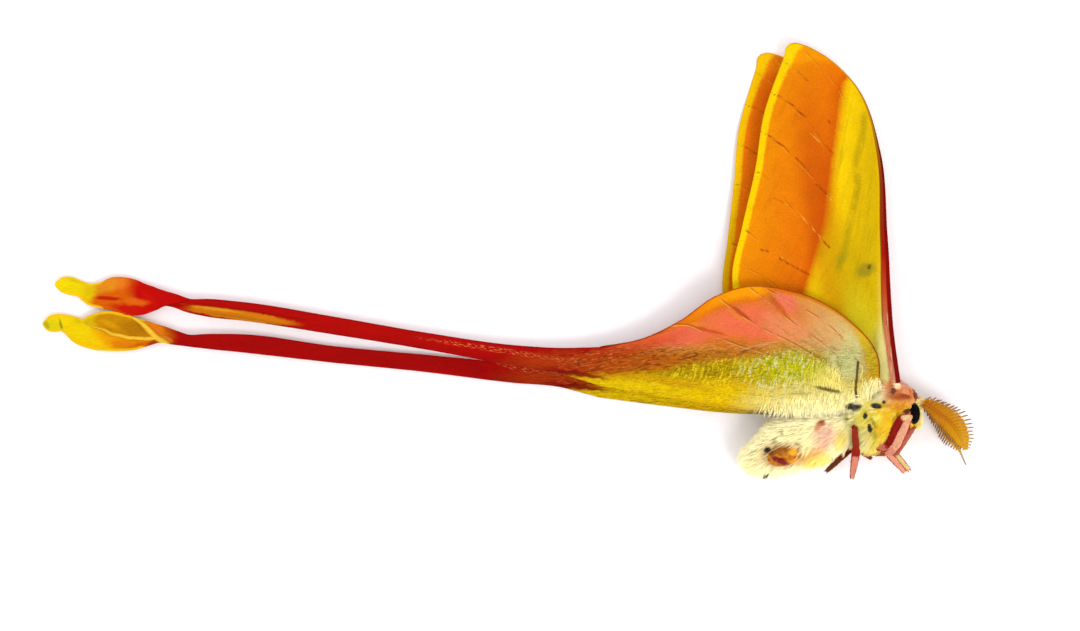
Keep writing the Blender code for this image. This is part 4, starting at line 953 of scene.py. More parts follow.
HINDWING_PIVOT = (55.5, -21.0)
LEFT_HINDWING_TURN = math.radians(2.7)
TAIL_SHARE = 0.26
TAIL_ROOT_X = 14.6
RIGHT_HINDWING_Z = ((60, 8.3), (50, 8.3), (42, 8.0), (35, 7.2), (25, 5.6), (14, 3.95), (5, 3.1), (-5, 2.75))
LEFT_HINDWING_Z = ((60, 0.47), (45, 0.45), (32, 0.5), (22, 0.7), (14, 0.85), (5, 0.9), (-5, 0.9))
HINDWING_GRID = (220, 110)
# Colour, centre, half sizes, turn, softness and strength of each marking in plan, from wide to small.
HINDWING_MARKS = (
    ("#DAAA00", (30.5, -17.2), (9.5, 2.0), 5.0, 0.6, 0.9),
    ("#D2CE02", (44.0, -16.8), (7.5, 2.6), 2.0, 0.6, 0.95),
    ("#D8D68A", (52.2, -14.4), (2.9, 4.9), 22.0, 0.4, 1.0),
    ("#DAA664", (47.2, -10.4), (5.4, 3.2), -26.0, 0.5, 1.0),
    ("#DE7628", (36.0, -9.6), (11.0, 4.6), 6.0, 0.4, 1.0),
    ("#EC7242", (32.6, -10.3), (10.5, 2.1), 17.0, 0.4, 0.85),
    ("#EC6E4A", (27.4, -12.0), (4.5, 1.4), 12.0, 0.35, 1.0),
    ("#EF7048", (37.9, -9.9), (4.9, 2.3), -14.0, 0.35, 1.0),
    ("#EC7656", (43.3, -6.5), (2.1, 1.5), -38.0, 0.4, 0.95),
    ("#E9905C", (43.4, -10.6), (3.4, 1.8), -24.0, 0.6, 0.8),
    ("#D4B61C", (55.8, -12.8), (1.1, 6.0), 18.0, 0.5, 0.9),
    ("#CE7A0A", (31.0, -15.0), (9.5, 1.0), 5.0, 0.7, 0.85),
    ("#BCA200", (30.0, -17.3), (9.0, 1.35), 3.0, 0.6, 0.7),
    # Thin dark and pale lines along the wrinkles follow: painted shade and painted highlight.
    ("#B8500E", (36.3, -8.2), (2.1, 0.3), -37.0, 0.5, 0.9),
    ("#E88A20", (35.6, -8.6), (1.7, 0.22), -37.0, 0.5, 0.8),
    ("#C8580A", (42.2, -7.2), (2.4, 0.42), -50.0, 0.6, 0.85),
    ("#C8540C", (31.0, -10.9), (3.2, 0.28), -14.0, 0.5, 0.85),
    ("#E88818", (28.6, -9.9), (2.4, 0.35), -4.0, 0.6, 0.8),
    ("#CC7410", (36.5, -13.3), (4.4, 0.45), -10.0, 0.8, 0.6),
    ("#E8A878", (39.0, -13.4), (2.8, 0.22), 14.0, 0.5, 0.7),
    ("#A0500E", (37.6, -14.0), (1.6, 0.2), 22.0, 0.5, 0.8),
    ("#A87A20", (47.5, -14.6), (3.6, 0.26), -26.0, 0.6, 0.7),
)
# Groups of streaks, as for the forewing.
HINDWING_STREAKS = (
    ("#FFE21A", (33.0, -17.6), (9.0, 2.2), 5.0, 68.0, 0.3, 1.9, 0.5, 0.6, 0.9),
    ("#9A7404", (33.0, -16.4), (9.5, 2.0), 5.0, 68.0, 0.35, 1.7, 0.54, 0.66, 0.6),
    ("#F6F09A", (44.5, -17.6), (8.0, 3.4), 0.0, 74.0, 0.32, 2.4, 0.5, 0.6, 0.9),
    ("#9AA000", (44.0, -16.2), (8.0, 2.4), 0.0, 80.0, 0.45, 2.0, 0.5, 0.66, 0.7),
    ("#C08030", (46.0, -11.6), (8.0, 3.6), -20.0, -32.0, 0.6, 3.0, 0.5, 0.7, 0.6),
)
SALMON_STREAKS = (("#F0A050", (27.0, -14.6), (15.0, 1.5), 2.0, 14.0, 0.28, 1.3, 0.54, 0.62, 0.7),)
# Dark and light streaks that run from the wing over the root of the tail: painted shade in the wrinkles and painted
# highlight on their ridges.
ROOT_WRINKLES = (
    ("#7A2402", (20.5, -15.7), (12.0, 1.8), 5.0, 10.0, 0.3, 1.5, 0.5, 0.6, 0.65),
    ("#E8803A", (18.5, -15.2), (10.0, 1.9), 5.0, 10.0, 0.25, 1.2, 0.56, 0.64, 0.8),
    ("#E07C40", (0.5, -14.3, 0.0), (13.0, 0.4, 0.4), -8.6, -14.0, 0.16, 0.7, 0.52, 0.6, 0.75),
)
# The colours from the inner edge outwards, and of the orange band from the tail to the hinge.
INNER_STOPS = ((0.0, "#E8B400"), (0.1, "#FFD200"), (0.3, "#FFDA00"), (0.4, "#F0C200"), (0.6, "#D8A400"),
               (1.0, "#D8A040"))
BAND_STOPS = ((0.0, "#E06A08"), (0.25, "#F89A00"), (0.44, "#FCA000"), (0.53, "#E06A10"), (0.8, "#C08210"),
              (1.0, "#B88A18"))
# The markings that run across the root of the tail.
TAIL_ROOT_MARKS = (
    ("#E0542A", (19.5, -13.7), (7.5, 1.2), 16.0, 0.6, 0.9),
    ("#C24006", (12.5, -15.5), (10.5, 1.5), 3.0, 0.6, 0.95),
    ("#CA6008", (20.5, -16.2), (7.0, 1.4), 4.0, 0.7, 0.9),
    ("#E8B400", (21.0, -19.4), (11.0, 1.5), -4.0, 0.4, 1.0),
    ("#FFD800", (22.0, -20.0), (10.5, 0.95), -7.0, 0.5, 0.9),
    # Painted shadow: a dark red line where the right tail lies over the left one.
    ("#8E0C00", (11.4, -17.75), (4.0, 0.4), -9.0, 0.4, 0.9),
    ("#B40600", (16.0, -13.2), (8.5, 0.34), 14.0, 0.5, 0.9),
)


def hindwing_outer(t):
    """The outer edge down to the tail, and then across the root of the tail."""
    t = np.asarray(t, float)
    curve = through(HINDWING_OUTER)(np.clip(t / (1 - TAIL_SHARE), 0, 1))
    cross = np.clip((t - (1 - TAIL_SHARE)) / TAIL_SHARE, 0, 1)[:, None]
    return curve + cross * (np.array(HINDWING_INNER[-1]) - np.array(HINDWING_OUTER[-1]))


def height_by_x(stations):
    """A smooth height over x."""
    table = np.array(stations[::-1], float)
    slopes = np.gradient(table[:, 1], table[:, 0])

    def height(x):
        i = np.clip(np.searchsorted(table[:, 0], x, side="right") - 1, 0, len(table) - 2)
        width = table[i + 1, 0] - table[i, 0]
        u = (np.clip(x, table[0, 0], table[-1, 0]) - table[i, 0]) / width
        return cubic(u, width, table[i, 1], table[i + 1, 1], slopes[i], slopes[i + 1])
    return height


def pleated(tree, plan):
    """The relief of the dried wrinkles, sharp along their ridges and higher over the rear part."""
    lying = add_node(tree, VECTOR_MATH, {0: plan, 1: (0.7, 2.6, 1.0)}, operation="MULTIPLY")
    pleats = add_node(tree, NOISE, {"Vector": lying, "Scale": 0.8, "Detail": 3.0})
    rising = add_node(tree, MATH, {0: pleats, 1: 0.5}, operation="SUBTRACT")
    ridge = add_node(tree, MATH, {0: rising}, operation="ABSOLUTE")
    at_y = add_node(tree, "ShaderNodeSeparateXYZ", {0: plan}).outputs["Y"]
    zone = add_node(tree, MAP_RANGE, {0: at_y, 1: -12.0, 2: -14.5, 3: 6.0, 4: 30.0})
    return add_node(tree, MATH, {0: ridge, 1: zone}, operation="MULTIPLY")


def hindwing_material(name, shade, tone):
    """Scaled membrane, crumpled: soft cloudy colours with wrinkles that catch the light, and painted light and shade
    along the wrinkles, veins and folds.
    """
    made, tree = new_material(name)
    plan = add_node(tree, ATTRIBUTE, attribute_name="plan").outputs["Vector"]
    kept = {value: add_node(tree, ATTRIBUTE, attribute_name=value).outputs["Fac"]
            for value in ("inner", "top", "band_wide", "vein_side", "vein", "root_line", "fold", "to_tail")}
    shifted, fine = ragged(tree, plan, 1.6, 0.7), ragged(tree, plan, 0.8, 0.22)
    colour = graded(tree, kept["inner"], 0.0, 9.0, INNER_STOPS)
    colour = marked(tree, colour, HINDWING_MARKS, shifted, fine, 0.5)
    colour = streaked(tree, colour, shifted, HINDWING_STREAKS)
    colour = streaked(tree, colour, plan, SALMON_STREAKS)
    colour = spotted(tree, colour, "#F6EB90", shifted, (47.5, -21.6), (9.5, 2.4), 3.0, 0.5, 0.85)
    wide_band = add_node(tree, MATH, {0: kept["top"], 1: kept["band_wide"]}, operation="DIVIDE")
    at_x = add_node(tree, "ShaderNodeSeparateXYZ", {0: plan}).outputs["X"]
    colour = lined(tree, colour, "#E47404", wide_band, 0.85, 1.5, 0.9)
    colour = lined(tree, colour, graded(tree, at_x, 26.0, 56.0, BAND_STOPS), wide_band, 0.5, 1.15)
    colour = relief_line(tree, colour, "#9A4408", "#F6B060", kept["vein_side"], kept["vein"], 0.6,
                         patchy(tree, plan, 3.0, 0.44, 0.58))
    colour = lined(tree, colour, "#5E3A0A", kept["root_line"], 0.1, 0.3, 0.9)
    # Painted shade: the folds of the wing are painted darker olive along their grooves.
    colour = lined(tree, colour, "#A88A20", kept["fold"], 0.08, 0.35, 0.7)
    colour = lined(tree, colour, "#B20400", kept["to_tail"], 0.6, 6.5)
    colour = marked(tree, colour, TAIL_ROOT_MARKS, shifted)
    colour = streaked(tree, colour, plan, ROOT_WRINKLES)
    colour = lined(tree, colour, "#8E2004", kept["top"], 0.1, 0.26, 0.7)
    below = add_node(tree, MIX, {0: shade, 6: colour, 7: linear("#C8A010")}, data_type="RGBA")
    scaled_surface(tree, below, plan, 0.7, tone, pleated(tree, plan))
    return made


def hindwing(name, stations, angle, surface, crumple):
    """One hindwing with its values, turned about its hinge."""
    outer = sampled(HINDWING_OUTER)
    costa = sampled(HINDWING_COSTA)
    plan = wing_plan(through(HINDWING_COSTA), hindwing_outer, through(HINDWING_INNER), *HINDWING_GRID)
    top = np.minimum(distance_to(plan, outer), distance_to(plan, costa))
    inner = distance_to(plan, sampled(HINDWING_INNER))
    lines = [sampled(v, 24) for v in HINDWING_VEINS]
    vein, vein_side = nearest_of(plan, lines)
    root_line = distance_to(plan, sampled(ROOT_LINE, 12))
    fold = np.min([distance_to(plan, sampled(line, 8)) for line in HINDWING_FOLDS], axis=0)
    band_wide = np.interp(plan[..., 0], (20.0, 26.0, 30.0, 38.5, 41.8, 50.0, 55.0),
                          (0.15, 0.4, 1.5, 2.2, 0.6, 0.45, 0.25))
    vein_shown = vein + 0.8 * (1 - smooth(-16.2, -14.8, plan[..., 1]))
    placed = turned(plan, HINDWING_PIVOT, angle)
    z = height_by_x(stations)(placed[..., 0])
    keep_edge = smooth(0.0, 1.5, plan[..., 0] - TAIL_ROOT_X)
    wet = smooth(0.3, 1.5, inner) * keep_edge
    creases = (1 - np.abs(rough(plan * np.array((0.75, 1.5)), 2.1, 3.7)) * 2.4) * 0.2
    creases += (1 - np.abs(rough(plan * np.array((1.2, 0.7)), 0.8, 8.2)) * 2.4) * 0.09
    zone = np.exp(-((plan[..., 1] + 15.8) / 3.4) ** 2) * (1 - smooth(42.0, 52.0, plan[..., 0]))
    z = z + crumple * creases * (0.25 + 0.75 * zone) * wet
    z = z + VEIN_RISE * np.exp(-(vein / VEIN_WIDE) ** 2) * smooth(0.0, 0.5, top) * keep_edge
    z = z - 0.14 * np.exp(-(fold / 0.28) ** 2)
    middle = np.concatenate([placed, z[..., None]], axis=-1)
    thickness = WING_THICK + 0.16 * np.exp(-(top / 0.5) ** 2)
    thickness = thickness * (0.6 + 0.4 * smooth(0.0, 0.3, np.minimum(inner, top) + (1 - keep_edge)))
    flat = np.concatenate([plan, np.zeros_like(z)[..., None]], axis=-1)
    made = sheet(name, middle, thickness,
                 {"plan": flat, "top": top, "inner": inner, "vein": vein_shown, "vein_side": vein_side,
                  "root_line": root_line, "fold": fold, "band_wide": band_wide, "to_tail": plan[..., 0] - TAIL_ROOT_X})
    made.data.materials.append(surface)
    tail_columns = np.linspace(0, 1, HINDWING_GRID[1]) >= 1 - TAIL_SHARE
    return made, middle[-1][tail_columns]


crumpled_scales = hindwing_material("crumpled_wing_scales", 0.0, 0.74)
shaded_scales = hindwing_material("shaded_wing_scales", 0.05, 0.76)
right_hindwing, right_edge = hindwing("hindwing_right_scaled", RIGHT_HINDWING_Z, 0.0, crumpled_scales, 1.0)
left_hindwing, left_edge = hindwing("hindwing_left_scaled", LEFT_HINDWING_Z, LEFT_HINDWING_TURN, shaded_scales, 0.35)
place(right_hindwing, "wing_yellow", "hindwing_right")
place(left_hindwing, "wing_yellow", "hindwing_left")

# Tails and their twisted ends.
# Each hindwing runs on as a long narrow ribbon of dark red scaled membrane, which folds over and opens into a
# cupped spoon, orange and red in the middle and yellow at the rim and the tip.
TAIL_THICK = 0.2
TAIL_ACROSS = 25
TAIL_SPLIT = -49.6
# The course of each tail: x, y, z, half width and cup of its stations.
RIGHT_TAIL = ((14.3, -16.5, 3.98, 3.0, 0), (8.5, -15.7, 3.4, 2.0, 0.1), (1.3, -14.9, 2.95, 1.6, 0.2),
              (-12.9, -12.6, 2.6, 1.3, 0.25), (-27.2, -10.2, 2.35, 1.38, 0.25),
              (-41.0, -8.03, 2.2, 1.45, 0.25), (-46.7, -7.45, 2.1, 1.38, 0.3),
              (-49.9, -7.05, 2.05, 1.05, 0.5), (-51.8, -6.36, 2.0, 1.04, 0.7),
              (-53.1, -6.05, 1.85, 1.12, 0.6), (-55.2, -6.05, 1.45, 1.9, 0.3),
              (-57.3, -6.05, 1.1, 2.6, 0.5), (-59.4, -5.7, 0.8, 2.9, 0.7), (-61.5, -5.3, 0.6, 2.67, 0.6),
              (-63.2, -5.45, 0.5, 2.17, 0.5), (-65.1, -5.35, 0.5, 1.75, 0.35), (-66.8, -4.56, 0.6, 1.27, 0.25),
              (-68.5, -4.0, 0.7, 1.4, 0.15), (-70.0, -3.8, 0.76, 1.06, 0.1), (-70.85, -3.75, 0.8, 0.3, 0))
LEFT_TAIL = ((13.95, -18.9, 0.85, 2.4, 0), (8.5, -18.3, 0.9, 1.6, 0), (1.3, -17.7, 0.9, 1.55, 0.05),
             (-12.9, -16.15, 0.95, 1.35, 0.1), (-27.2, -14.75, 1.1, 1.3, 0.15),
             (-41.6, -13.0, 1.5, 1.42, 0.15), (-47.0, -12.7, 1.7, 1.15, 0.3), (-49.9, -12.56, 1.75, 0.92, 0.5),
             (-52.0, -12.1, 1.75, 1.12, 0.6), (-54.1, -11.6, 1.5, 1.36, 0.4),
             (-56.2, -11.5, 1.0, 1.96, 0.4), (-58.4, -11.5, 0.6, 2.62, 0.8),
             (-60.5, -11.3, 0.4, 2.95, 1.1), (-62.6, -11.1, 0.3, 3.1, 1.2), (-64.7, -11.25, 0.25, 2.79, 1.1),
             (-66.8, -11.13, 0.25, 2.12, 0.8), (-68.5, -10.2, 0.4, 1.54, 0.6),
             (-69.8, -9.75, 0.6, 1.3, 0.4), (-71.0, -9.87, 0.72, 1.38, 0.3),
             (-72.1, -10.0, 0.85, 1.0, 0.1), (-72.75, -9.95, 0.88, 0.3, 0))
SPOON_RIM = ((-66.0, -9.86), (-64.6, -10.5), (-63.2, -10.9), (-62.0, -11.55), (-60.7, -11.8), (-59.4, -12.15),
             (-58.15, -12.2), (-56.6, -12.3), (-54.9, -12.2))
SPOON_FOLD = ((-58.47, -9.02), (-57.3, -9.76), (-55.8, -11.24), (-54.75, -12.2), (-53.9, -12.7), (-53.0, -13.3))
RIBBON_FOLD = ((-49.9, -6.3), (-51.5, -6.75), (-53.3, -7.15), (-51.6, -7.12), (-49.3, -7.0), (-46.7, -7.15),
               (-41.0, -7.85), (-35.0, -8.75), (-31.5, -9.3))
TAIL_ROWS = 520
SPOON_RISE = 0.32
FOLD_DEPTH = 0.16
# The left tail keeps its places this much higher, and the spoons' markings reach only so far from theirs, so that
# no marking of one spoon shows on the other.
LEFT_LEVEL = 1.2
SPOON_REACH = 1.0
SPOON_FROM = -53.0
LEFT_FROM = -8.8
# A distance that keeps a fold off the tail that hasn't got it.
NO_FOLD = 9.0
# Colour, centre, half sizes, turn, softness and strength of each marking, from wide to small.
TAIL_MARKS = (
    ("#A00000", (-24.0, -14.4), (27.0, 2.4), -6.0, 0.4, 0.8),
    ("#8C0000", (3.5, -17.0), (7.0, 1.1), -9.0, 0.5, 0.7),
    ("#D87C06", (-42.7, -8.5), (9.8, 0.76), -8.5, 0.2, 0.95),
    ("#B06E0E", (-41.5, -9.0), (6.5, 0.22), -8.5, 0.5, 0.75),
    ("#F09A20", (-46.0, -7.6), (4.6, 0.2), -8.0, 0.5, 0.8),
    ("#C45E08", (-51.3, -7.0), (1.9, 0.34), -12.0, 0.5, 0.85),
    ("#8E5206", (-50.6, -7.4), (0.9, 0.18), -14.0, 0.5, 0.7),
    ("#E06400", (-61.4, -5.6), (5.6, 3.6), 12.0, 0.35, 1.0),
    ("#E8961A", (-62.6, -3.9), (2.6, 1.0), 16.0, 0.5, 0.85),
    ("#EC7A1C", (-60.2, -3.6), (1.2, 0.9), 30.0, 0.5, 0.7),
    ("#C60400", (-54.4, -5.6), (4.9, 3.0), -20.0, 0.3, 1.0),
    ("#D81000", (-56.0, -6.0), (1.6, 0.5), -40.0, 0.6, 0.6),
    ("#D00800", (-58.3, -7.9), (3.8, 0.8), -10.0, 0.4, 0.95),
    ("#EA6A10", (-58.0, -6.5), (1.8, 0.55), -8.0, 0.5, 0.85),
    ("#C41C00", (-62.7, -5.95), (2.2, 0.32), -4.0, 0.4, 0.95),
    ("#E8C800", (-66.4, -4.8), (1.8, 2.4), -14.0, 0.4, 0.95),
    ("#F6DC00", (-69.0, -3.9), (2.7, 2.0), -14.0, 0.4, 1.0),
    ("#C8B400", (-66.6, -3.3), (2.2, 0.3), -10.0, 0.5, 0.75),
    ("#F4A400", (-62.0, -11.6), (8.2, 3.8), -3.0, 0.35, 1.0),
    # Painted shade in the hollow of the left spoon.
    ("#CC8C00", (-60.8, -10.1), (5.0, 1.7), -10.0, 0.35, 1.0),
    ("#B47400", (-58.4, -10.8), (2.4, 1.1), -16.0, 0.5, 0.8),
    ("#E4A400", (-62.4, -9.9), (1.6, 0.4), -24.0, 0.6, 0.7),
    ("#E68400", (-58.9, -13.1), (4.4, 1.0), 6.0, 0.5, 0.9),
    ("#D45A00", (-57.2, -13.7), (2.4, 0.7), 10.0, 0.5, 0.8),
    ("#B02A00", (-55.2, -12.9), (1.2, 0.45), 24.0, 0.5, 0.9),
    ("#EA7A10", (-55.2, -10.9), (1.7, 1.1), -34.0, 0.4, 0.95),
    ("#F09030", (-53.2, -12.5), (0.9, 0.4), -20.0, 0.5, 0.8),
    ("#FFD400", (-65.6, -13.0), (4.4, 1.5), -28.0, 0.5, 0.9),
    ("#F6D800", (-69.4, -10.1), (4.8, 2.4), -14.0, 0.4, 1.0),
    ("#D4C400", (-66.3, -9.2), (1.8, 0.6), 10.0, 0.5, 0.7),
    ("#98960A", (-69.95, -10.3), (0.2, 1.2), 14.0, 0.5, 0.9),
    ("#D8CC10", (-71.6, -10.2), (1.2, 1.0), 0.0, 0.6, 0.8),
    ("#A8A210", (-72.3, -10.4), (0.5, 1.2), 10.0, 0.5, 0.7),
)


def tail_course(stations):
    """The grid of middle points of a ribbon that is cupped along its course."""
    table = sampled(stations, TAIL_ROWS)
    centre, half, cup = table[:, :3], table[:, 3], table[:, 4]
    direction = np.gradient(centre, axis=0)
    direction /= np.linalg.norm(direction, axis=1)[:, None]
    side = np.cross(UP, direction)
    side /= np.linalg.norm(side, axis=1)[:, None]
    high = np.cross(direction, side)
    v = np.linspace(-1, 1, TAIL_ACROSS)
    middle = (centre[:, None, :] + side[:, None, :] * (half[:, None] * v[None, :])[..., None]
              + high[:, None, :] * (cup[:, None] * v[None, :] ** 2)[..., None])
    return middle, v, half


def tail_pieces(side_name, stations, wing_row, wave, wing_turn, rim_from, surface):
    """The ribbon of a tail and its twisted end, which start from the wing's own edge and meet without a step."""
    middle, v, half = tail_course(stations)
    edge = np.abs(v)[None, :] ** 3
    along = np.linspace(0, 1, TAIL_ROWS)[:, None]
    fade = smooth(0.0, 0.05, along)
    middle[..., 2] += wave * edge * fade * rough(middle[..., :2], 2.4, 2.2)
    middle[..., 2] += 0.5 * wave * fade * rough(middle[..., :2] * np.array((0.5, 2.0)), 1.2, 6.6)
    joined = np.stack([np.interp((v + 1) / 2, np.linspace(0, 1, len(wing_row)), wing_row[::-1, i])
                       for i in range(3)], axis=1)
    if np.linalg.norm(joined[0] - middle[0, 0]) > np.linalg.norm(joined[-1] - middle[0, 0]):
        joined = joined[::-1]
    middle = middle + ((1 - smooth(0.0, 0.05, along))[..., None]) * (joined - middle[0])[None]
    rim = np.repeat((1 - np.abs(v))[None, :], TAIL_ROWS, axis=0) * half[:, None]
    thick = TAIL_THICK * (0.5 + 0.5 * smooth(0.0, 0.3, rim)) * (0.7 + 0.3 * smooth(0.0, 0.04, along))
    unturned = turned(middle[..., :2], HINDWING_PIVOT, -wing_turn)
    near_wing = smooth(-12.0, 4.0, middle[..., 0])[..., None]
    plan = middle.copy()
    plan[..., :2] = unturned * near_wing + middle[..., :2] * (1 - near_wing)
    plan[..., 2] = LEFT_LEVEL * (1 - near_wing[..., 0]) * (side_name == "left")
    band = distance_to(plan[..., :2], sampled(SPOON_FOLD, 30))
    band /= 0.8 + 1.1 * smooth(8.8, 11.0, -plan[..., 1])
    edge_line = distance_to(plan[..., :2], sampled(SPOON_RIM, 40))
    edge_line /= 0.45 + 0.65 * smooth(-66.0, -61.0, plan[..., 0])
    fold = np.minimum(edge_line, band) + NO_FOLD * (side_name == "right")
    under = distance_to(plan[..., :2], np.array(RIBBON_FOLD)) + NO_FOLD * (side_name == "left")
    middle[..., 2] += SPOON_RISE * np.exp(-(fold / 0.3) ** 2) - FOLD_DEPTH * np.exp(-(under / 0.22) ** 2)
    pale_rim = rim + 3.0 * smooth(rim_from - 2.0, rim_from + 2.0, middle[..., 0])
    split = int(np.argmin(np.abs(middle[:, TAIL_ACROSS // 2, 0] - TAIL_SPLIT)))
    made = []
    for name, rows in ((f"tail_{side_name}_ribbon", slice(0, split + 1)),
                       (f"tail_end_{side_name}_spoon", slice(split, TAIL_ROWS))):
        piece = sheet(name, middle[rows], thick[rows],
                      {"rim": rim[rows], "pale_rim": pale_rim[rows], "plan": plan[rows], "fold": fold[rows],
                       "under": under[rows]})
        piece.data.materials.append(surface)
        made.append(piece)
    return made


# Tail scales: dense matt scales on a narrow membrane, with a fine lengthwise grain and slightly paler rims.
ribbon_scales, tree = new_material("tail_ribbon_scales")
plan = add_node(tree, ATTRIBUTE, attribute_name="plan").outputs["Vector"]
kept = {value: add_node(tree, ATTRIBUTE, attribute_name=value).outputs["Fac"]
        for value in ("rim", "pale_rim", "fold", "under")}
raised = []
for code, centre, half, *shape in TAIL_MARKS:
    on_spoon = centre[0] < SPOON_FROM
    level = LEFT_LEVEL if on_spoon and centre[1] < LEFT_FROM else 0.0
    raised.append((code, (*centre, level), (*half, SPOON_REACH if on_spoon else FLAT_REACH), *shape))
colour = lined(tree, linear("#B20400"), "#9C0400", kept["rim"], 0.08, 0.24, 0.9)
colour = marked(tree, colour, raised, ragged(tree, plan, 1.1, 0.35), ragged(tree, plan, 0.6, 0.12), 0.5)
colour = marked(tree, colour, TAIL_ROOT_MARKS, ragged(tree, plan, 1.6, 0.7))
colour = streaked(tree, colour, plan, ROOT_WRINKLES)
colour = lined(tree, colour, "#FFCE10", kept["pale_rim"], 0.12, 0.5, 0.85)
# Painted shade: a brown band beside the raised fold and rim of the left spoon.
colour = lined(tree, colour, "#8E5A00", kept["fold"], 0.2, 0.5, 0.35)
colour = lined(tree, colour, "#FFD038", kept["fold"], 0.06, 0.3, 0.95, patchy(tree, plan, 0.9, 0.1, 0.42))
# Painted shade: a dark red line in the groove where the right tail folds under.
colour = lined(tree, colour, "#7A1200", kept["under"], 0.03, 0.2, 0.75, patchy(tree, plan, 1.2, 0.25, 0.5))
stretched = add_node(tree, "ShaderNodeMapping", {"Vector": plan, "Scale": (0.35, 1.6, 1.6)})
at_x = add_node(tree, "ShaderNodeSeparateXYZ", {0: plan}).outputs["X"]
root_side = add_node(tree, MAP_RANGE, {0: at_x, 1: -6.0, 2: 10.0})
wrinkles = add_node(tree, MATH, {0: pleated(tree, plan), 1: root_side}, operation="MULTIPLY")
scaled_surface(tree, colour, stretched, 0.66, 0.72, wrinkles)

for side_name, stations, wing_row, wave, wing_turn, rim_from in (
    ("right", RIGHT_TAIL, right_edge, 0.12, 0.0, -62.0),
    ("left", LEFT_TAIL, left_edge, 0.08, LEFT_HINDWING_TURN, -55.5),
):
    ribbon, spoon = tail_pieces(side_name, stations, wing_row, wave, wing_turn, rim_from, ribbon_scales)
    place(ribbon, "tail_red", f"tail_{side_name}")
    place(spoon, "tail_yellow", f"tail_end_{side_name}")

# Long hair of the wings beside the body.
# Fine cream hairs grow from the rear part of the hindwing, point to the belly and hang over the abdomen.
HAIR_MARKS = (
    ("#E2DE4A", (41.0, -17.0), (7.5, 2.4), 0.0, 0.5, 0.8),
    ("#D2CE20", (42.5, -16.2), (6.5, 2.0), 0.0, 0.5, 0.85),
    ("#F6F2C4", (56.8, -19.9), (2.4, 1.6), 0.0, 0.5, 0.8),
    ("#F2DC40", (39.5, -21.0), (4.5, 1.6), 5.0, 0.5, 0.8),
    ("#FAF2B0", (51.0, -21.8), (5.5, 1.9), 5.0, 0.5, 0.9),
    # Painted highlight: a pale line along a fold of the hair.
    ("#FFFBD0", (46.0, -21.7), (7.5, 0.7), 1.0, 0.6, 0.6),
    ("#FAF6CC", (46.5, -23.4), (9.5, 1.1), 0.0, 0.5, 0.85),
    # Painted shade: a dark line in the fold, where it runs on from the fold of the wing.
    ("#6E5C10", (49.8, -19.95), (2.1, 0.28), -12.0, 0.4, 0.9),
    ("#8A7A20", (45.6, -20.6), (2.0, 0.25), 4.0, 0.5, 0.6),
    ("#5A3408", (54.05, -19.2), (0.24, 2.8), 4.0, 0.3, 0.95),
    ("#1E1006", (53.8, -22.5), (1.3, 0.5), 8.0, 0.25, 1.0),
)


def wing_hair(tree, root, here):
    """Cream hair that is greener where the wing is green, with the root marks of the wing, and painted shade and
    highlight along the fold.
    """
    upright = [(code, (*centre, 4.0), (*half, 60.0), *shape) for code, centre, half, *shape in HAIR_MARKS]
    return marked(tree, linear("#F8EC8C"), upright, ragged(tree, root, 1.0, 0.5), ragged(tree, here, 0.5, 0.1), 0.6)


down = fur_material("wing_down", wing_hair, "#FFFCD0", 0.05)
for side_name, wing, seed in (("right", right_hindwing, 21), ("left", left_hindwing, 22)):
    flat = np.zeros(len(wing.data.vertices) * 3)
    wing.data.attributes["plan"].data.foreach_get("vector", flat)
    flat = flat.reshape(-1, 3)
    inner, from_top = np.zeros(len(flat)), np.zeros(len(flat))
    wing.data.attributes["inner"].data.foreach_get("value", inner)
    wing.data.attributes["top"].data.foreach_get("value", from_top)
    towards_body = smooth(37.0, 46.0, flat[:, 0])
    near_edge = 1 - 0.94 * smooth(1.9, 3.6, inner) - 0.06 * smooth(5.5, 7.5, inner)
    dome = np.exp(-(((flat[:, 0] - 49.6) / 3.0) ** 4 + ((flat[:, 1] + 18.4) / 2.1) ** 4))
    bald = np.exp(-(((flat[:, 0] - 53.2) / 1.5) ** 4 + ((flat[:, 1] + 15.5) / 4.6) ** 4))
    near_edge = np.maximum(near_edge, dome) * (1 - 0.97 * bald) * smooth(0.9, 1.8, from_top)
    at_root = smooth(54.8, 55.6, flat[:, 0]) * (1 - smooth(-18.8, -17.6, flat[:, 1]))
    near_edge = np.maximum(near_edge, at_root)
    cover = towards_body * near_edge
    if side_name == "right":
        cover = cover * (np.array([v.normal.z for v in wing.data.vertices]) > 0)
    heading = np.tile(np.array((-0.2, -1.0, -0.2 if side_name == "right" else 0.05)), (len(flat), 1))
    heading[:, 0] += 0.3 * rough(flat[:, :2], 2.2, 4.4)
    hair = grow(wing, f"hindwing_{side_name}_hair", cover, 0.55 + 0.1 * towards_body * smooth(0.0, 1.6, inner),
                heading, dict(zip(FUR_SHAPE, (36.0 if side_name == "right" else 8.0, 2.0, 0.11, 0.22, 1.1, 1.4)),
                              Seed=seed, Material=down))
    place(hair, "wing_yellow", f"hindwing_{side_name}")

# Eyes.
# Round compound eyes of black glassy horn, made of thousands of tiny domed facets. Hair covers their rear half.
EYE_CENTRE = (63.35, -23.9, 4.3)
EYE_SPREAD = 2.15
EYE_HALF = (0.9, 1.66, 1.25)
FACET = 0.085


def rounded_piece(name, columns, rows, shaped, material):
    """A smooth piece made of a ball, whose points a function moves to their place in metres."""
    ball = bmesh.new()
    bmesh.ops.create_uvsphere(ball, u_segments=columns, v_segments=rows, radius=1.0)
    for vertex in ball.verts:
        vertex.co = shaped(vertex.co)
    mesh = bpy.data.meshes.new(name)
    ball.to_mesh(mesh)
    ball.free()
    mesh.shade_smooth()
    mesh.materials.append(material)
    return new_object(name, mesh)


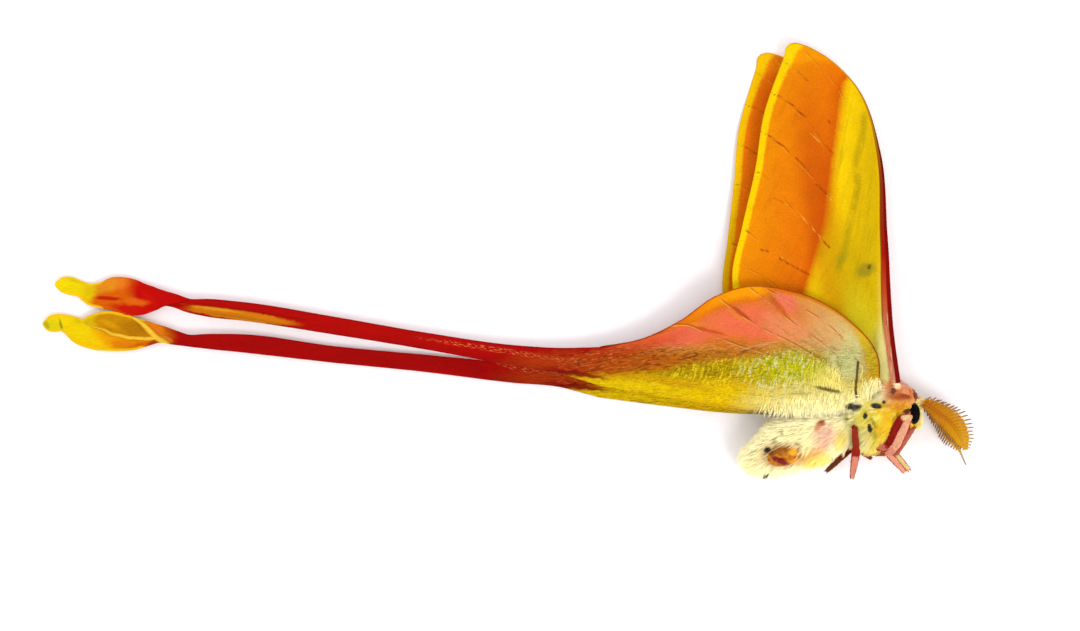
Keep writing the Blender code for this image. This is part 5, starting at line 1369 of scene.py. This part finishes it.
black_horn, horn_tree = new_material("faceted_black_horn")
facets = add_node(horn_tree, "ShaderNodeTexVoronoi",
                  {"Vector": object_mm(horn_tree), "Scale": 1 / FACET, "Randomness": 0.35})
domed = add_node(horn_tree, MAP_RANGE, {0: facets, 1: 0.0, 2: 0.7, 3: 1.0, 4: 0.0})
horn_colour = add_node(horn_tree, MIX, {0: domed, 6: linear("#000000"), 7: linear("#030202")}, data_type="RGBA")
finish_material(horn_tree, horn_colour, domed, 0.02, 0.2, Specular_IOR_Level=0.05)
for side_name, side in (("right", 1), ("left", -1)):
    centre = (EYE_CENTRE[0], EYE_CENTRE[1], EYE_CENTRE[2] + side * EYE_SPREAD)
    eye = rounded_piece(f"eye_{side_name}_facets", 56, 36,
                        lambda at: Vector([(c + s * h * (1 + 0.04 * at.x)) * MM
                                           for c, s, h in zip(centre, at, EYE_HALF)]), black_horn)
    place(eye, "eye", f"eye_{side_name}")

# Feathered feelers.
# A thin ringed shaft of ochre horn carries two pairs of rays on each ring. Fine bristles close the gaps between
# the rays, except at their bare tips.
FEELER_HALF = (0.5, 0.34, 0.22, 0.21, 0.24, 0.1)
RIGHT_FEELER = ((63.6, -22.0, 5.5), (65.0, -22.3, 6.3), (67.2, -23.8, 6.2), (69.1, -25.3, 5.9), (70.5, -27.2, 5.5),
                (71.6, -29.5, 5.1))
LEFT_FEELER = ((63.6, -22.0, 3.2), (65.1, -22.4, 2.6), (67.5, -24.0, 2.5), (69.2, -26.1, 2.3), (70.5, -28.6, 2.0),
               (72.1, -32.1, 1.6))
RAY_ANGLE = math.radians(60.0)
RAY_TILT = math.radians(7.0)
FEELER_STEPS = 80
BRISTLES = 8
BRISTLE_STEP = 0.07

ray_points, ray_faces = spike(((0.0, 0.0, 0.6), (0.0, 0.6, 1.0), (0.0, 0.9, 0.8)), (1.571, 3.665, 5.76),
                              (0.0, 0.0, 1.0))
for step in range(BRISTLES):
    high = 0.02 + BRISTLE_STEP * step
    for side in (-1, 1):
        first = len(ray_points)
        ray_points += [(0.0, 0.2, high), (0.0, -0.2, high), (0.0, 0.0, high + 0.08), (side * 1.7, 0.0, high + 0.1)]
        ray_faces += [(first, first + 1, first + 3), (first + 1, first + 2, first + 3), (first + 2, first, first + 3)]
ray = bpy.data.objects.new("ray", bpy.data.meshes.new("ray"))
ray.data.from_pydata(ray_points, [], ray_faces)
keep_values(ray.data, "along", [p[2] for p in ray_points])
keep_values(ray.data, "barb", [min(abs(p[0]), 1.0) for p in ray_points])

feeler_tree, feeler_in = new_tree("feathered_feeler", (
    ("Rays on each side", "Int", 27), ("Ray length", "Float", 2.9), ("Ray width", "Float", 0.24),
    ("First ray", "Float", 0.12), ("Last ray", "Float", 0.95), ("Rings", "Float", 34.0), ("Ochre part", "Float", 1.0),
    ("Seed", "Int", 1), ("Ray", "Object"), ("Material", "Material"),
))
tree = feeler_tree
course = add_node(tree, "GeometryNodeMeshToCurve", {"Mesh": feeler_in["Geometry"]})
fine_course = add_node(tree, "GeometryNodeResampleCurve", {"Curve": course, "Count": 240})
half_here = add_node(tree, "GeometryNodeInputNamedAttribute", {"Name": "half"}, data_type="FLOAT")
share_here = add_node(tree, "GeometryNodeSplineParameter")
turns = add_node(tree, MATH, {0: share_here, 1: feeler_in["Rings"]}, operation="MULTIPLY")
angle_here = add_node(tree, MATH, {0: turns, 1: 2 * math.pi}, operation="MULTIPLY")
wave_here = add_node(tree, MATH, {0: angle_here}, operation="SINE")
ringed = add_node(tree, MATH, {0: wave_here, 1: 0.1, 2: 1.0}, operation="MULTIPLY_ADD")
ring_half = add_node(tree, MATH, {0: ringed, 1: half_here}, operation="MULTIPLY")
ochre_share = add_node(tree, MATH, {0: share_here, 1: feeler_in["Ochre part"]}, operation="MULTIPLY")
with_tone = add_node(tree, "GeometryNodeStoreNamedAttribute",
                     {"Geometry": fine_course, "Name": "share", "Value": ochre_share},
                     data_type="FLOAT", domain="POINT")
kept_share = add_node(tree, "GeometryNodeStoreNamedAttribute",
                      {"Geometry": with_tone, "Name": "along", "Value": -1.0}, data_type="FLOAT", domain="POINT")
profile = add_node(tree, "GeometryNodeCurvePrimitiveCircle", {"Resolution": 12, "Radius": 1.0})
parts = [add_node(tree, "GeometryNodeCurveToMesh",
                  {"Curve": kept_share, "Profile Curve": profile, "Scale": ring_half, "Fill Caps": True})]
span = add_node(tree, "GeometryNodeTrimCurve",
                {"Curve": course, "Start": feeler_in["First ray"], "End": feeler_in["Last ray"]}, mode="FACTOR")
ray_feet = add_node(tree, "GeometryNodeResampleCurve", {"Curve": span, "Count": feeler_in["Rays on each side"]})
along_course = add_node(tree, "GeometryNodeInputTangent")
blade_side = add_node(tree, VECTOR_MATH, {0: (0.0, 0.0, 1.0), 1: along_course}, operation="CROSS_PRODUCT")
doubled = add_node(tree, MATH, {0: share_here, 1: 2.0, 2: -0.9}, operation="MULTIPLY_ADD")
squared = add_node(tree, MATH, {0: doubled, 1: 2.0}, operation="POWER")
outline = add_node(tree, MATH, {0: squared, 1: -0.62, 2: 1.0}, operation="MULTIPLY_ADD")
uneven_ray = add_node(tree, "FunctionNodeRandomValue", {2: 0.93, 3: 1.05, "Seed": feeler_in["Seed"]},
                      data_type="FLOAT")
ray_long = add_node(tree, MATH, {0: outline, 1: feeler_in["Ray length"]}, operation="MULTIPLY")
ray_long_here = add_node(tree, MATH, {0: ray_long, 1: uneven_ray}, operation="MULTIPLY")
ray_share = add_node(tree, MATH, {0: share_here, 1: 0.78}, operation="MULTIPLY")
with_share = add_node(tree, "GeometryNodeStoreNamedAttribute",
                      {"Geometry": ray_feet, "Name": "share", "Value": ray_share},
                      data_type="FLOAT", domain="POINT")
ray_shape = add_node(tree, "GeometryNodeObjectInfo", {"Object": feeler_in["Ray"]})
ahead_part = add_node(tree, VECTOR_MATH, {0: along_course, "Scale": math.cos(RAY_ANGLE)}, operation="SCALE")
for side, longer in ((-1, 0.88), (1, 1.12)):
    long_side = add_node(tree, MATH, {0: ray_long_here, 1: longer}, operation="MULTIPLY")
    ray_size_mm = add_node(tree, "ShaderNodeCombineXYZ",
                           {0: feeler_in["Ray width"], 1: feeler_in["Ray width"], 2: long_side})
    ray_size = add_node(tree, VECTOR_MATH, {0: ray_size_mm, "Scale": MM}, operation="SCALE")
    aside_part = add_node(tree, VECTOR_MATH,
                          {0: blade_side, "Scale": side * math.sin(RAY_ANGLE) * math.cos(RAY_TILT)},
                          operation="SCALE")
    flat_aim = add_node(tree, VECTOR_MATH, {0: ahead_part, 1: aside_part}, operation="ADD")
    for layer in (-1, 1):
        tilted_aim = add_node(tree, VECTOR_MATH,
                              {0: flat_aim, 1: (0.0, 0.0, layer * math.sin(RAY_TILT))}, operation="ADD")
        stood_ray = add_node(tree, "FunctionNodeAlignRotationToVector", {"Vector": tilted_aim}, axis="Z")
        faced_ray = add_node(tree, "FunctionNodeAlignRotationToVector",
                             {"Rotation": stood_ray, "Vector": along_course}, axis="X", pivot_axis="Z")
        parts.append(add_node(tree, "GeometryNodeInstanceOnPoints",
                              {"Points": with_share, "Instance": ray_shape.outputs["Geometry"],
                               "Rotation": faced_ray, "Scale": ray_size}))
joined = add_node(tree, "GeometryNodeJoinGeometry")
for part in parts:
    tree.links.new(part.outputs[0], joined.inputs[0])
real_rays = add_node(tree, "GeometryNodeRealizeInstances", {"Geometry": joined})
horned = add_node(tree, "GeometryNodeSetMaterial", {"Geometry": real_rays, "Material": feeler_in["Material"]})
add_node(tree, "NodeGroupOutput", {0: horned})

# Ochre horn: thin translucent-looking chitin, browner at the root of the feeler, with a dull polish.
ochre_horn, tree = new_material("ochre_feeler_horn")
kept = {value: add_node(tree, ATTRIBUTE, attribute_name=value).outputs["Fac"] for value in ("share", "along", "barb")}
# Each mask or tone, the stored value that it follows and from where to where, and its first and last amount.
amount = {name: add_node(tree, MAP_RANGE, {0: kept[value], 1: low, 2: high, 3: first, 4: last})
          for name, value, low, high, first, last in (
              ("near_shaft", "along", 0.0, 0.3, 0.6, 0.0), ("lower", "share", 0.35, 0.65, 1.0, 0.0),
              ("barb", "barb", 0.0, 0.9, 1.08, 0.82), ("shaft", "along", -0.5, 0.0, 0.74, 1.0),
              ("tip", "along", 0.62, 0.78, 0.0, 0.85), ("foot", "share", 0.05, 0.11, 0.85, 0.0),
              ("on_shaft", "along", -1.0, -0.5, 1.0, 0.0))}
browner = add_node(tree, MATH, {0: amount["near_shaft"], 1: amount["lower"]}, operation="MULTIPLY")
pale_foot = add_node(tree, MATH, {0: amount["foot"], 1: amount["on_shaft"]}, operation="MULTIPLY")
grain = fine_grain(tree, 5000.0)
tone = add_node(tree, MAP_RANGE, {0: grain, 3: 0.76, 4: 1.02})
# Painted highlight and shade: the rays are toned lighter and their barbs darker, which brings out the ribs; the shaft
# is toned darker.
for more in ("barb", "shaft"):
    tone = add_node(tree, MATH, {0: tone, 1: amount[more]}, operation="MULTIPLY")
colour = graded(tree, kept["share"], 0.0, 1.0, (
    (0.0, "#B87000"), (0.22, "#BE7C00"), (0.5, "#CC8E00"), (0.8, "#DCA41C"), (0.88, "#CDB184"), (1.0, "#8C888A")))
colour = add_node(tree, MIX, {0: browner, 6: colour, 7: linear("#B85E00")}, data_type="RGBA")
colour = add_node(tree, VECTOR_MATH, {0: colour, "Scale": tone}, operation="SCALE")
for mask, code in ((amount["tip"], "#7A6048"), (pale_foot, "#F0DC84")):
    colour = add_node(tree, MIX, {0: mask, 6: colour, 7: linear(code)}, data_type="RGBA")
finish_material(tree, colour, grain, 0.01, 0.55, Specular_IOR_Level=0.08)
for side_name, points, first_ray, last_ray, count, ochre_part, seed in (
    ("right", RIGHT_FEELER, 0.12, 0.97, 19, 0.78, 31), ("left", LEFT_FEELER, 0.15, 0.78, 17, 1.0, 32),
):
    fine = sampled([(*p, h) for p, h in zip(points, FEELER_HALF)], FEELER_STEPS)
    line = bpy.data.meshes.new("feeler_course")
    line.from_pydata((fine[:, :3] * MM).tolist(), [(i, i + 1) for i in range(FEELER_STEPS - 1)], [])
    keep_values(line, "half", fine[:, 3] * MM)
    feeler = made_by(feeler_tree, line, f"feeler_{side_name}_feathered",
                     {"Rays on each side": count, "First ray": first_ray, "Last ray": last_ray,
                      "Ochre part": ochre_part, "Seed": seed, "Ray": ray, "Material": ochre_horn})
    place(feeler, "feeler", f"antenna_{side_name}")

# Legs.
# Jointed tubes of horn under short close hair, pink to dark red from length to length and painted darker red along the
# sides as shade of the round tube, with five short rings and two hooked claws at each foot.
LEG_FUR_LENGTH = 0.36
# Joint points with half thickness, and how dark red each length between them is.
LEGS = {
    "foreleg_right": (((57.6, -28.6, 6.4), 0.8), ((59.0, -29.2, 7.6), 0.54), ((61.0, -24.6, 8.1), 0.42),
                      ((62.4, -24.4, 7.8), 0.5), ((60.3, -28.9, 7.9), 0.7), ((59.2, -30.0, 7.4), 0.46),
                      ((61.8, -32.8, 5.6), 0.28)),
    "foreleg_left": (((57.6, -28.6, 2.0), 0.9), ((59.4, -29.6, 4.5), 0.6), ((63.4, -25.8, 5.4), 0.42),
                     ((60.6, -30.2, 5.2), 0.38), ((62.7, -32.6, 4.3), 0.3)),
    "midleg_right": (((55.9, -28.4, 4.6), 0.7), ((56.0, -29.2, 4.2), 0.45), ((53.9, -25.9, 8.4), 0.34),
                     ((54.2, -28.9, 7.8), 0.44), ((54.2, -30.2, 7.3), 0.56), ((53.9, -33.8, 5.0), 0.28)),
    "midleg_left": (((59.2, -29.2, 5.2), 0.6), ((58.9, -30.1, 4.9), 0.42), ((55.3, -29.8, 3.9), 0.36),
                    ((57.0, -30.9, 2.2), 0.24)),
    "hindleg_right": (((54.4, -28.8, 3.4), 0.5), ((52.1, -31.0, 4.2), 0.32), ((50.2, -32.8, 4.0), 0.26)),
    "hindleg_left": (((55.2, -28.2, 2.2), 0.8), ((51.2, -30.9, 0.95), 0.4), ((46.5, -31.2, 0.6), 0.36),
                     ((41.6, -32.2, 0.45), 0.24)),
}
LEG_TONES = {
    "foreleg_right": (0.3, 0.85, 0.04, 0.08, 0.14, 0.13), "foreleg_left": (0.3, 0.85, 0.34, 0.0),
    "midleg_right": (0.2, 0.9, 0.72, 0.8, 0.2), "midleg_left": (0.8, 0.5, 0.9),
    "hindleg_right": (0.92, 1.0), "hindleg_left": (0.8, 1.0, 1.0),
}
LIMB_ROWS = 30
LIMB_AROUND = 16
LIMB_OVERLAP = 0.55
FOOT_RINGS = 5
RING_DEPTH = 0.17
CLAW_ROWS = 9
CLAW_LONG = 0.75
CLAW_HOOK = 0.35
CLAW_SPREAD = 0.16
CLAW_HALF = 0.13
CLAW_APART = 0.12
OVER_FLOOR = 0.04
CLAW_OVER_FLOOR = 0.03


def limb_part(a, b, first_half, last_half, rings):
    """The rows of one rounded length of a leg, with rings pinched into it."""
    a, b = np.array(a, float), np.array(b, float)
    step = b - a
    long_step = np.linalg.norm(step)
    direction = step / long_step
    side = np.cross(direction, UP)
    side /= np.linalg.norm(side)
    high = np.cross(side, direction)
    u = 0.5 - 0.5 * np.cos(np.linspace(0, np.pi, LIMB_ROWS))
    start, stop = -LIMB_OVERLAP * first_half / long_step, 1 + LIMB_OVERLAP * last_half / long_step
    share = start + (stop - start) * u
    half = np.interp(share, (0, 1), (first_half, last_half)) * (1 + 0.12 * np.sin(np.pi * np.clip(share, 0, 1)))
    cap = np.minimum(np.sqrt(np.clip((share - start) * long_step / (0.8 * first_half), 0, 1)),
                     np.sqrt(np.clip((stop - share) * long_step / (0.8 * last_half), 0, 1)))
    if rings:
        cap = cap * (1 - RING_DEPTH * np.abs(np.cos(np.pi * rings * np.clip(share, 0, 1))) ** 6)
    turn_round = np.linspace(0, 2 * np.pi, LIMB_AROUND, endpoint=False)
    around = np.cos(turn_round)[:, None] * side + np.sin(turn_round)[:, None] * high
    rows = a + share[:, None, None] * step + around[None] * (half * np.maximum(cap, 0.02))[:, None, None]
    edge = np.repeat(np.abs(np.cos(turn_round))[None, :], LIMB_ROWS, axis=0)
    return rows, edge


def claw(tip, direction, side):
    """A hooked claw as rows of a thin cone that bends down to the sole."""
    rows = []
    for i in range(CLAW_ROWS):
        u = i / (CLAW_ROWS - 1)
        centre = np.array(tip) + direction * CLAW_LONG * u - UP * CLAW_HOOK * u * u + side * CLAW_SPREAD * u
        half = CLAW_HALF * (1 - u) ** 0.8 + 0.005
        a = np.linspace(0, 2 * np.pi, 8, endpoint=False)
        rows.append(centre + half * (np.cos(a)[:, None] * side + np.sin(a)[:, None] * np.cross(direction, side)))
    return np.array(rows)


def add_tube(points, faces, corners, rows, band):
    """Adds the closed tube of some rows of points to lists, with its place on the unwrap."""
    first = len(points)
    count, around = rows.shape[:2]
    points.extend(rows.reshape(-1, 3))
    for i in range(count - 1):
        for j in range(around):
            k = (j + 1) % around
            faces.append((first + i * around + j, first + i * around + k,
                          first + (i + 1) * around + k, first + (i + 1) * around + j))
            corners.append([(x / around, (band + 0.9 * y / (count - 1))) for x, y in
                            ((j, i), (j + 1, i), (j + 1, i + 1), (j, i + 1))])
    faces.append(tuple(first + j for j in range(around))[::-1])
    corners.append([(0.5, band)] * around)
    faces.append(tuple(first + (count - 1) * around + j for j in range(around)))
    corners.append([(0.5, band + 0.9)] * around)


def tube_piece(name, tubes, values):
    """A piece of several closed tubes with an unwrap and stored values."""
    points, faces, corners = [], [], []
    for i, rows in enumerate(tubes):
        add_tube(points, faces, corners, rows, i)
    made = link_mesh(name, points, faces)
    table = {frozenset(face): dict(zip(face, corner)) for face, corner in zip(faces, corners)}
    layer = made.data.uv_layers.new(name="unwrap")
    for face in made.data.polygons:
        known = table[frozenset(face.vertices)]
        for corner in face.loop_indices:
            u, v = known[made.data.loops[corner].vertex_index]
            layer.data[corner].uv = (u, v / len(tubes))
    for value_name, field in values.items():
        keep_values(made.data, value_name, field)
    return made


# Leg hair: short close hair-scales, pink and painted dark red towards the sides as shade, over horn of the same tone.
def leg_colour(tree):
    """Pink to dark red by the stored tone, and darker towards the sides as painted shade of the rounded leg."""
    tone, edge = (add_node(tree, ATTRIBUTE, attribute_name=value).outputs["Fac"] for value in ("tone", "edge"))
    lines = add_node(tree, MAP_RANGE, {0: edge, 1: 0.72, 2: 0.95, 3: 0.0, 4: 0.84})
    most = add_node(tree, MATH, {0: tone, 1: lines}, operation="MAXIMUM")
    return graded(tree, most, 0.0, 1.0, ((0.0, "#F6E49C"), (0.1, "#F2B094"), (0.3, "#E2826A"), (0.65, "#A83A1C"),
                                         (0.86, "#A01406"), (1.0, "#7A4210")))


leg_horn, tree = new_material("leg_horn")
finish_material(tree, leg_colour(tree), fine_grain(tree, 4000.0), 0.03, 0.55, Specular_IOR_Level=0.2)
leg_hair, tree = new_material("leg_hair")
tint = add_node(tree, ATTRIBUTE, attribute_name="tint").outputs["Fac"]
shade = add_node(tree, MAP_RANGE, {0: tint, 3: 0.6, 4: 0.98})
toned = add_node(tree, VECTOR_MATH, {0: leg_colour(tree), "Scale": shade}, operation="SCALE")
finish_material(tree, toned, fine_grain(tree, 9000.0), 0.005, 0.6, Specular_IOR_Level=0.12, Sheen_Weight=0.05,
                Sheen_Roughness=0.4)
claw_horn, tree = new_material("dark_claw_horn")
grain = fine_grain(tree, 3000.0)
colour = add_node(tree, MIX, {0: grain, 6: linear("#140804"), 7: linear("#4A1C0A")}, data_type="RGBA")
finish_material(tree, colour, grain, 0.01, 0.35, IOR=1.55)

for leg_index, (leg_name, joints) in enumerate(LEGS.items()):
    tubes, tones, edges, lies = [], [], [], []
    for i, ((a, first_half), (b, last_half)) in enumerate(zip(joints[:-1], joints[1:])):
        rows, edge = limb_part(a, b, first_half, last_half, FOOT_RINGS if i == len(joints) - 2 else 0)
        rows[..., 2] = np.maximum(rows[..., 2], OVER_FLOOR)
        direction = np.array(b) - np.array(a)
        direction /= np.linalg.norm(direction)
        tubes.append(rows)
        tones.append(np.full(edge.size, LEG_TONES[leg_name][i]))
        edges.append(edge.ravel())
        lies.append(np.tile(direction, (edge.size, 1)))
    leg = tube_piece(f"{leg_name}_horn", tubes, {"tone": np.concatenate(tones), "edge": np.concatenate(edges)})
    leg.data.materials.append(leg_horn)
    heights = np.array([v.co.z for v in leg.data.vertices]) / MM
    shape = dict(zip(FUR_SHAPE, (85.0, LEG_FUR_LENGTH, 0.085, 0.28, 0.5, 0.4)), Seed=40 + leg_index,
                 Material=leg_hair)
    fluff = grow(leg, f"{leg_name}_hair", smooth(0.1, 0.5, heights), np.ones(len(heights)), np.concatenate(lies),
                 shape)
    side = np.cross(direction, UP)
    side /= np.linalg.norm(side)
    start = np.array(joints[-1][0]) - direction * 0.1
    claws = tube_piece(f"{leg_name}_claws", [claw(start + way * side * CLAW_APART, direction, way * side)
                                             for way in (1, -1)], {})
    for vertex in claws.data.vertices:
        vertex.co.z = max(vertex.co.z, CLAW_OVER_FLOOR * MM)
    claws.data.materials.append(claw_horn)
    for piece in (leg, fluff, claws):
        place(piece, "leg", leg_name)

# Clasper.
# A bare oval plate of brown horn at the side of the last ring of the abdomen, ribbed and with a dark red slit.
CLASPER_CENTRE = (43.0, -30.35, 7.95)
CLASPER_HALF = (2.55, 1.6, 1.35)
CLASPER_TILT = math.radians(12)
# Markings of the plate, as for the body.
CLASPER_MARKS = (
    # Painted highlight: a bright orange patch on the plate.
    ("#F0A41C", (44.4, -29.6, 9.0), (0.8, 0.6, 3.0), 0.0, 0.5, 0.9),
    ("#7A4206", (42.6, -29.6, 9.0), (1.3, 0.5, 3.0), 10.0, 0.5, 0.7),
    ("#701004", (42.4, -31.1, 9.0), (1.4, 0.42, 3.0), -22.0, 0.3, 1.0),
    ("#E0901C", (44.9, -31.2, 9.0), (0.9, 0.5, 3.0), 0.0, 0.5, 0.8),
    ("#5A3208", (41.0, -29.7, 9.0), (0.6, 0.8, 3.0), 30.0, 0.5, 0.8),
)


def ribbed_plate(at):
    """A point of the plate: ribs run round it, and the slit lies across its middle."""
    x, y, z = at
    ribs = 0.035 * math.sin(13 * math.hypot(x, 1.2 * y)) * (1 - z * z)
    slit = 0.28 * math.exp(-(((y + 0.22 + 0.12 * x) / 0.16) ** 2)) * math.exp(-((x / 0.55) ** 4)) * max(z, 0)
    offset = Vector((x * CLASPER_HALF[0], y * CLASPER_HALF[1], z * CLASPER_HALF[2])) * (1 + ribs - slit)
    c, s = math.cos(CLASPER_TILT), math.sin(CLASPER_TILT)
    tilted = Vector((offset.x * c - offset.y * s, offset.x * s + offset.y * c, offset.z))
    return (Vector(CLASPER_CENTRE) + tilted) * MM


brown_horn, tree = new_material("bare_brown_horn")
here_mm = object_mm(tree)
grain = add_node(tree, NOISE, {"Vector": here_mm, "Scale": 1.6, "Detail": 5.0})
colour = graded(tree, grain, 0.3, 0.7, ((0.0, "#7E4204"), (0.5, "#A8640A"), (1.0, "#C88418")))
colour = marked(tree, colour, CLASPER_MARKS, ragged(tree, here_mm, 0.8, 0.3))
finish_material(tree, colour, grain, 0.1, 0.45, Specular_IOR_Level=0.15)
clasper = rounded_piece("clasper_plate", 72, 44, ribbed_plate, brown_horn)
place(clasper, "clasper", "clasper")
